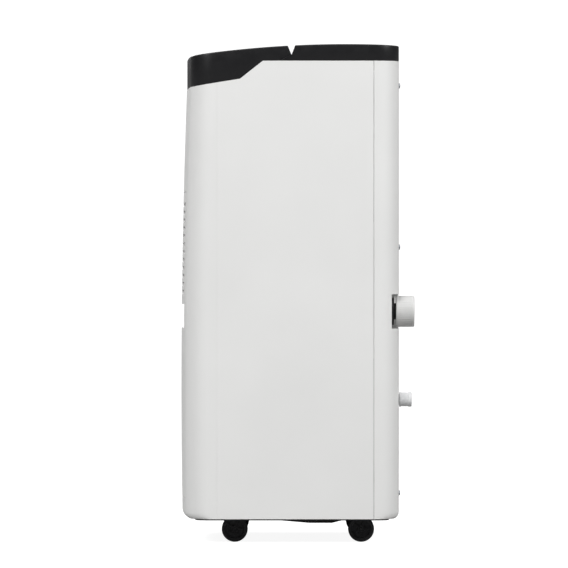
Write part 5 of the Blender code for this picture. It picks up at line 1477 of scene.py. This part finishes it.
@dataclass
class WaterTank:
    """The pull-out tank: fascia, level window, bin, lid, handle and float."""

    thickness: float = 4 * MM
    wall: float = 2.5 * MM
    corner: float = 12 * MM
    fillet: float = 5 * MM
    inner_fillet: float = 4 * MM
    window_corner: float = 2.7 * MM
    window_set: float = 0.2 * MM
    marks: int = 5
    mark_pitch: float = 6 * MM
    mark_half: float = 0.35 * MM
    mark_inset: float = 4 * MM
    drop_x: float = -10 * MM

    def cutter(self, outline: Sequence[Flat]) -> bmesh.types.BMesh:
        """Makes a bar that runs through the tank's front, from its outline."""
        return prism(outline, "Y", FORM.front - 10 * MM, FORM.front + 20 * MM)

    def rounded(self, left: float, low: float, right: float, high: float, radius: float) -> list[Flat]:
        """Gives the outline of a rectangle with round corners.

        Args:
            left: Its least first coordinate.
            low: Its least second coordinate.
            right: Its greatest first coordinate.
            high: Its greatest second coordinate.
            radius: The corners' radius.

        Returns:
            Points, from the right side round to it again.
        """
        corners = ((right - radius, high - radius), (left + radius, high - radius), (left + radius, low + radius),
                   (right - radius, low + radius))
        return [point for turn, centre in enumerate(corners)
                for point in arc(centre, radius, turn * 90, turn * 90 + 90, 8)]

    def fascia(self) -> None:
        """Builds the tank's front with the hole for its level window."""
        low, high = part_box("tank_fascia")
        panel = thickened(sheet(FORM.front_panel(high[0], low[2], high[2], 0.0)), self.thickness)
        (left, _, bottom), (right, _, top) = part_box("level_window")
        gap = FORM.gap
        hole = self.cutter(self.rounded(left - gap, bottom - gap, right + gap, top + gap, 3 * MM))
        show("tank_fascia_fine", without(panel, hole), WHITE_ABS, "tank", ["tank_fascia"], 0.5)

    def window(self) -> None:
        """Builds the level window, with printed level marks and a drop."""
        (left, _, bottom), (right, _, top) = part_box("level_window")
        skin = sheet([[(x, FORM.front_y(z) + self.window_set + FORM.bow_at(x), z) for x in row_of(left, right, 8)]
                      for z in row_of(bottom, top, 8)])
        panel = thickened(skin, self.thickness - 2 * self.window_set)
        outline = self.rounded(left, bottom, right, top, self.window_corner)
        kept = worked(panel, ("BOOLEAN", {"operation": "INTERSECT", "solver": "EXACT",
                                          "object": self.cutter(outline)}))
        show("level_window_fine", kept, SMOKED_ACRYLIC, "tank", ["level_window"], 0.3)
        marks = []
        end, half = right - self.mark_inset, self.mark_half
        for number in range(self.marks):
            z = bottom + 7 * MM + number * self.mark_pitch
            start = end - (8 * MM if number in (0, self.marks - 1) else 4.5 * MM)
            marks.append([(start, z - half), (end, z - half), (end, z + half), (start, z + half)])
        level = (bottom + top) / 2
        drop = droplet(self.drop_x, level - 1.5 * MM, 3.6 * MM, level + 6 * MM)
        marks.append(stroke(drop, 0.8 * MM, closed=True))
        face = FORM.front_y(level) + self.window_set
        printing = gathered([prism(mark, "Y", face - 0.08 * MM, face + 0.25 * MM) for mark in marks])
        show("level_window_marks", printing, INK, "tank")

    def bin(self) -> None:
        """Builds the milky bin: rounded foot, straight walls, and a rolled rim."""
        low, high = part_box("tank_bin")
        foot, top, wall = low[2], high[2], self.wall
        profile = [(self.fillet * (1 - math.sin(a)), foot + self.fillet * (1 - math.cos(a)))
                   for a in row_of(0.0, math.pi / 2, 6)]
        profile += [(0.0, top - 1.2 * MM), (0.35 * MM, top - 0.35 * MM), (1.2 * MM, top), (wall - 0.4 * MM, top),
                    (wall, top - 0.4 * MM)]
        profile += [(wall + self.inner_fillet * (1 - math.sin(a)), foot + wall + self.inner_fillet * (1 - math.cos(a)))
                    for a in row_of(math.pi / 2, 0.0, 6)]
        rings = []
        for inset, z in profile:
            radius = max(self.corner - inset, 2 * MM)
            outline = self.rounded(low[0] + inset, low[1] + inset, high[0] - inset, high[1] - inset, radius)
            rings.append([(x, y, z) for x, y in outline])
        show("tank_bin_fine", lofted(rings), TANK_PP, "tank", ["tank_bin"])

    def build(self) -> None:
        """Builds the tank's pieces."""
        self.fascia()
        self.window()
        self.bin()
        dress("tank_lid", INNER_PP, 0.5)
        dress("tank_handle", INNER_PP, 1.2)
        dress("tank_float", FLOAT_FOAM, 1.0)


@dataclass
class BasePan:
    """The black base and its four twin-wheel castors."""

    hood_radius: float = 20 * MM
    hood_edge: float = 2.4 * MM
    well_radius: float = 17.2 * MM
    web: float = 5 * MM
    trail: float = 10 * MM
    collar: float = 9 * MM
    collar_rise: float = 2 * MM
    stem: float = 5 * MM
    axle_radius: float = 2 * MM
    axle_inset: float = 0.8 * MM
    wheel_radius: float = 16 * MM
    wheel_rim: float = 11.6 * MM
    wheel_shoulder: float = 1.4 * MM
    wheel_dish: float = 2.2 * MM
    wheel_bore: float = 2.4 * MM
    spokes: int = 5

    def hood(self, corner: str) -> None:
        """Builds a castor's hood: a rounded cap over both wheels, on a collar and a swivel stem.

        Args:
            corner: Which castor, such as front_left.
        """
        node = f"castor_{corner}_hood"
        low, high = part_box(node)
        x, top = (low[0] + high[0]) / 2, high[2]
        _, axle_y, axle_z = middle(f"castor_{corner}_wheel_1")
        axle, half = (x, axle_y, axle_z), (high[0] - low[0]) / 2
        cap = prism(arc((axle_y, axle_z), self.hood_radius, -4, 184, 40), "X", low[0], high[0])
        edge = {"width": self.hood_edge, "segments": 4, "limit_method": "ANGLE", "angle_limit": 0.9}
        cap = worked(cap, ("BEVEL", edge))
        foot, rim = axle_z + 12 * MM, axle_z + self.hood_radius + self.collar_rise
        stem = [(0.0, foot), (self.collar, foot), (self.collar, rim - 0.8 * MM), (self.collar - 0.8 * MM, rim),
                (self.stem, rim), (self.stem, top - 0.6 * MM), (self.stem - 0.6 * MM, top), (0.0, top)]
        body = joined(cap, turned(stem, 40, "Z", (x, axle_y - self.trail, 0.0)))
        wells = []
        for side in (-1, 1):
            inner, outer = sorted((side * self.web / 2, side * (half + 10 * MM)))
            wells.append(rod(self.well_radius, inner, outer, 64, "X", axle))
        body = without(body, *wells)
        stub = half - self.axle_inset
        pin = turned(rounded_profile(self.axle_radius, -stub, stub, 0.4 * MM), 24, "X", axle)
        show(f"{node}_fine", joined(body, pin), BASE_PP, body_of(node), [node])

    def wheel(self, corner: str, number: int) -> None:
        """Builds a wheel: a crowned tread, a hub with spokes, and a boss on its axle.

        Args:
            corner: Which castor.
            number: 1 for its left wheel, 2 for its right one.
        """
        node = f"castor_{corner}_wheel_{number}"
        low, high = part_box(node)
        _, axle_y, axle_z = middle(node)
        outside, inner, outer = (-1, high[0], low[0]) if number == 1 else (1, low[0], high[0])
        width = high[0] - low[0]
        radius, shoulder, rim, dish = self.wheel_radius, self.wheel_shoulder, self.wheel_rim, self.wheel_dish
        tread = [(radius - shoulder + shoulder * math.sin(a), shoulder - shoulder * math.cos(a))
                 for a in row_of(0.0, math.pi / 2, 6)]
        tread += [(r, width - depth) for r, depth in reversed(tread)]
        face = [(rim + 0.4 * MM, width), (rim, width - 0.4 * MM), (rim - 0.3 * MM, width - dish),
                (5.0 * MM, width - dish), (4.6 * MM, width - 0.5 * MM), (4.2 * MM, width - 0.2 * MM),
                (self.wheel_bore, width - 0.2 * MM), (self.wheel_bore, 0.0)]
        # The whole of a wheel is one moulding: its tread and its hub share one profile.
        profile = [(r, inner + outside * depth) for r, depth in tread + face]
        parts = [turned(profile, 72, "X", (0.0, axle_y, axle_z))]
        seat = Matrix.Translation((outer - outside * dish, axle_y, axle_z))
        seat = seat @ Matrix.Rotation(outside * math.pi / 2, 4, "Y")
        for step in range(self.spokes):
            spoke = rounded_box((-1 * MM, 4.4 * MM, 0.0), (1 * MM, rim, dish - 0.5 * MM), 0.3 * MM, 2)
            parts.append(placed(spoke, seat @ Matrix.Rotation(math.tau * step / self.spokes, 4, "Z")))
        show(f"{node}_fine", gathered(parts), WHEEL_PU, body_of(node), [node])

    def build(self) -> None:
        """Builds the base's pieces."""
        dress("base_pan", BASE_PP, 0.5)
        for corner in ("front_left", "front_right", "rear_left", "rear_right"):
            self.hood(corner)
            for number in (1, 2):
                self.wheel(corner, number)


@dataclass
class DrainFittings:
    """The drain's screw cap on its spigot, the lower outlet with its plug, and the cord gland."""

    cap_radius: float = 19 * MM
    cap_edge: float = 1.6 * MM
    cap_bore: float = 10.4 * MM
    grips: int = 48
    grip_half: float = 0.55 * MM
    grip_sunk: float = 0.3 * MM
    plug_bore: float = 7.4 * MM
    plug_edge: float = 1.5 * MM
    plug_neck: float = 0.6 * MM
    seat_room: float = 0.4 * MM

    def cap(self) -> None:
        """Builds the screw cap: fine grip ribs, a smooth collar and a shallow dished end."""
        low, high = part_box("drain_cap")[0][1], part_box("drain_cap")[1][1]
        x, _, z = middle("drain_cap")
        centre, radius, edge = (x, 0.0, z), self.cap_radius, self.cap_edge
        waist, seat = radius - self.grip_sunk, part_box("drain_washer")[1][1] + self.seat_room
        outer = [(self.cap_bore + 0.5 * MM, low), (radius - 0.8 * MM, low), (radius, low + 0.8 * MM),
                 (radius, low + 3.2 * MM), (waist, low + 3.6 * MM), (waist, high - 3.4 * MM), (radius, high - 3 * MM),
                 (radius, high - edge)]
        outer += [(radius - edge + edge * math.cos(a), high - edge + edge * math.sin(a))
                  for a in row_of(0.3, math.pi / 2, 5)]
        outer += [(radius - 4 * MM, high), (radius - 4.6 * MM, high - 0.9 * MM), (0.0, high - 0.9 * MM)]
        inner = [(0.0, seat), (self.cap_bore, seat), (self.cap_bore, low + 0.5 * MM)]
        parts = [turned(outer + inner, 96, "Y", centre)]
        for step in range(self.grips):
            rib = rounded_box((-self.grip_half, low + 3.5 * MM, radius - 1.2 * MM),
                              (self.grip_half, high - 3.3 * MM, radius), 0.25 * MM, 2)
            turn = Matrix.Rotation(math.tau * step / self.grips, 4, "Y")
            parts.append(placed(rib, Matrix.Translation(centre) @ turn))
        show("drain_cap_fine", gathered(parts), CAP_ABS, "drain_cap", ["drain_cap"])

    def plug(self) -> None:
        """Builds the lower outlet's rubber plug with its pull rim."""
        (left, low, _), (right, high, _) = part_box("lower_plug")
        x, _, z = middle("lower_plug")
        radius, edge = (right - left) / 2, self.plug_edge
        neck, seat = radius - self.plug_neck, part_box("lower_outlet")[1][1] + self.seat_room
        profile = [(0.0, high - 0.5 * MM), (radius * 0.5, high - 0.5 * MM), (radius * 0.6, high)]
        profile += [(radius - edge + edge * math.sin(a), high - edge + edge * math.cos(a))
                    for a in row_of(0.0, math.pi / 2, 6)]
        profile += [(radius, high - 4 * MM), (neck, high - 4.6 * MM), (neck, low + 2.5 * MM), (radius, low + 2 * MM),
                    (radius, low + 0.4 * MM), (radius - 0.4 * MM, low), (self.plug_bore, low), (self.plug_bore, seat),
                    (0.0, seat)]
        show("lower_plug_fine", turned(profile, 64, "Y", (x, 0.0, z)), GREY_RUBBER, "lower_plug", ["lower_plug"])

    def build(self) -> None:
        """Builds the fittings."""
        self.cap()
        self.plug()
        dress("drain_spigot", DARK_ABS, 0.3)
        dress("drain_washer", BLACK_RUBBER, 0.2)
        dress("lower_outlet", DARK_ABS, 0.3)
        dress("cord_gland", BLACK_RUBBER, 0.3)


@dataclass
class InnerWorks:
    """What the cabinet hides: bulkhead, tray, coils, fan, compressor and pipes."""

    fin_pitch: float = 2.6 * MM
    fin: float = 0.35 * MM
    fin_inset: float = 1 * MM
    plate: float = 1.5 * MM
    plate_room: float = 2 * MM
    tube_radius: float = 3.6 * MM
    tube_rows: int = 9
    tube_columns: Flat = (0.27, 0.73)

    def coil(self, node: str) -> None:
        """Builds a coil: a stack of thin fins between end plates, with copper tubes through them.

        Args:
            node: evaporator or condenser.
        """
        low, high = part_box(node)
        front, back = low[1] + self.fin_inset, high[1] - self.fin_inset
        end, top = high[0] - 2.5 * MM, high[2] - 2 * MM
        reach = end - self.plate_room
        fins = [block((x - self.fin / 2, front, low[2]), (x + self.fin / 2, back, top))
                for x in row_of(-reach, reach, int(2 * reach / self.fin_pitch))]
        show(f"{node}_fins", gathered(fins), FINS, "cabinet", [node])
        plates = []
        for side in (-1, 1):
            left, right = sorted((side * end, side * (end + self.plate)))
            plates.append(rounded_box((left, low[1], low[2]), (right, high[1], high[2]), 0.3 * MM, 2))
        show(f"{node}_end_plates", gathered(plates), ZINC_STEEL, "cabinet")
        pitch = (top - low[2]) / self.tube_rows
        tubes = [rod(self.tube_radius, -end, end, 16, "X",
                     (0.0, front + (back - front) * share, low[2] + pitch * (row + 0.5)))
                 for share in self.tube_columns for row in range(self.tube_rows)]
        show(f"{node}_tubes", gathered(tubes), COPPER_ACROSS, "cabinet")

    def build(self) -> None:
        """Builds and dresses the inner pieces."""
        for node in ("evaporator", "condenser"):
            self.coil(node)
        for node in ("bulkhead", "drip_tray", "fan_scroll"):
            dress(node, INNER_PP, 0.5)
        dress("fan_impeller", DARK_ABS, 0.2)
        dress("fan_shaft", STEEL, 0.3)
        dress("fan_motor", ZINC_STEEL, 0.8)
        dress("compressor", COMPRESSOR_ENAMEL, 0.8)
        for number in (1, 2, 3):
            dress(f"compressor_foot_{number}", BLACK_RUBBER, 0.8)
        dress("discharge_pipe", COPPER, 0.0)
        dress("suction_pipe", COPPER, 0.0)


@dataclass
class Studio:
    """The pale floor, the soft lights and the camera."""

    floor_reach: float = 60.0
    camera_distance: float = 8.0
    frame_width: float = 0.6943
    sensor: float = 36.0
    aim: Flat = (-0.0159, 0.3166)
    sky: float = 0.98
    horizon: float = 0.12
    floor_glow: float = 0.92
    backdrop: float = 1.1
    horizon_height: float = 0.25
    ceiling_height: float = 0.85
    box_depth: float = 0.7
    boxes: tuple[tuple[str, Point, float, float], ...] = (
        ("key", (2.8, -2.1, 2.6), 1.6, 100.0),
        ("fill", (-2.6, -1.2, 1.8), 1.8, 46.0),
        ("back", (1.9, 2.6, 2.2), 1.6, 76.0),
    )

    def floor(self) -> None:
        """Lays the pale floor, which glows a little to the eye so that shadows under the castors stay light."""
        made = bpy.data.materials.new("floor_laminate_matt")
        made.use_nodes = True
        tree = made.node_tree
        tree.nodes.clear()
        place = add_node(tree, "ShaderNodeTexCoord").outputs["Object"]
        # Matt laminate: a faint mottle of two close whites.
        mottle = add_node(tree, "ShaderNodeTexNoise", values={"Scale": per_mm(90.0), "Detail": 4.0},
                          links={"Vector": place})
        tone = add_node(tree, "ShaderNodeMix", {"data_type": "RGBA"}, {6: linear("#8a8a89"), 7: linear("#909090")},
                        {0: mottle.outputs[0]})
        seen = add_node(tree, "ShaderNodeLightPath").outputs["Is Camera Ray"]
        glow = add_node(tree, "ShaderNodeMath", {"operation": "MULTIPLY"}, {1: self.floor_glow}, {0: seen})
        shader = add_node(tree, "ShaderNodeBsdfPrincipled",
                          values={"Roughness": 0.9, "Specular IOR Level": 0.1, "Emission Color": linear("#ffffff")},
                          links={"Base Color": tone.outputs[2], "Emission Strength": glow.outputs[0]})
        add_node(tree, "ShaderNodeOutputMaterial", links={"Surface": shader.outputs[0]})
        reach = self.floor_reach
        shape = sheet([[(x, y, 0.0) for x in row_of(-reach, reach, 8)] for y in row_of(-reach, reach, 8)])
        mesh = bpy.data.meshes.new("floor")
        shape.to_mesh(mesh)
        shape.free()
        mesh.materials.append(made)
        ground = bpy.data.objects.new("floor", mesh)
        bpy.context.scene.collection.objects.link(ground)

    def world(self) -> None:
        """Lights the room from a bright ceiling that falls off to a darker horizon."""
        room = bpy.data.worlds.new("room")
        bpy.context.scene.world = room
        room.use_nodes = True
        tree = room.node_tree
        tree.nodes.clear()
        place = add_node(tree, "ShaderNodeTexCoord").outputs["Generated"]
        height = add_node(tree, "ShaderNodeSeparateXYZ", links={0: place}).outputs[2]
        lit = add_node(tree, "ShaderNodeMapRange", {"interpolation_type": "SMOOTHSTEP"},
                       {"From Min": self.horizon_height, "From Max": self.ceiling_height,
                        "To Min": self.horizon, "To Max": self.sky}, {"Value": height}).outputs[0]
        seen = add_node(tree, "ShaderNodeLightPath").outputs["Is Camera Ray"]
        strength = add_node(tree, "ShaderNodeMix", {"data_type": "FLOAT"}, {3: self.backdrop},
                            {0: seen, 2: lit}).outputs[0]
        glow = add_node(tree, "ShaderNodeBackground", values={"Color": linear("#ffffff")},
                        links={"Strength": strength})
        add_node(tree, "ShaderNodeOutputWorld", links={"Surface": glow.outputs[0]})

    def lights(self) -> None:
        """Hangs three soft boxes: a key at the front, a fill at the far side and one behind."""
        target = Vector((0.0, 0.0, 0.3))
        for name, spot, size, power in self.boxes:
            data = bpy.data.lights.new(name, "AREA")
            data.shape = "RECTANGLE"
            data.size = size
            data.size_y = size * self.box_depth
            data.energy = power
            lamp = bpy.data.objects.new(name, data)
            bpy.context.scene.collection.objects.link(lamp)
            lamp.location = spot
            lamp.rotation_mode = "QUATERNION"
            lamp.rotation_quaternion = (target - Vector(spot)).to_track_quat("-Z", "Y")
            lamp.visible_camera = False

    def camera(self) -> None:
        """Sets the camera level with the cabinet's middle, square to its right side."""
        data = bpy.data.cameras.new("camera")
        data.sensor_width = self.sensor
        data.lens = self.sensor * self.camera_distance / self.frame_width
        data.clip_end = 200.0
        eye = bpy.data.objects.new("camera", data)
        bpy.context.scene.collection.objects.link(eye)
        eye.location = (FORM.half_width + self.camera_distance, *self.aim)
        eye.rotation_euler = (math.pi / 2, 0.0, math.pi / 2)
        bpy.context.scene.camera = eye

    def build(self) -> None:
        """Sets up the studio."""
        bpy.context.scene.view_settings.view_transform = "Standard"
        self.floor()
        self.world()
        self.lights()
        self.camera()


ASSEMBLIES: tuple[type, ...] = (Cabinet, TopCover, Front, WaterTank, BasePan, DrainFittings, InnerWorks, Studio)


def main() -> None:
    """Builds every sub-assembly and the studio."""
    logging.basicConfig(level=logging.INFO, format="%(name)s %(message)s")
    for assembly in ASSEMBLIES:
        LOG.info("building %s", assembly.__name__)
        assembly().build()


if __name__ == "__main__":
    main()
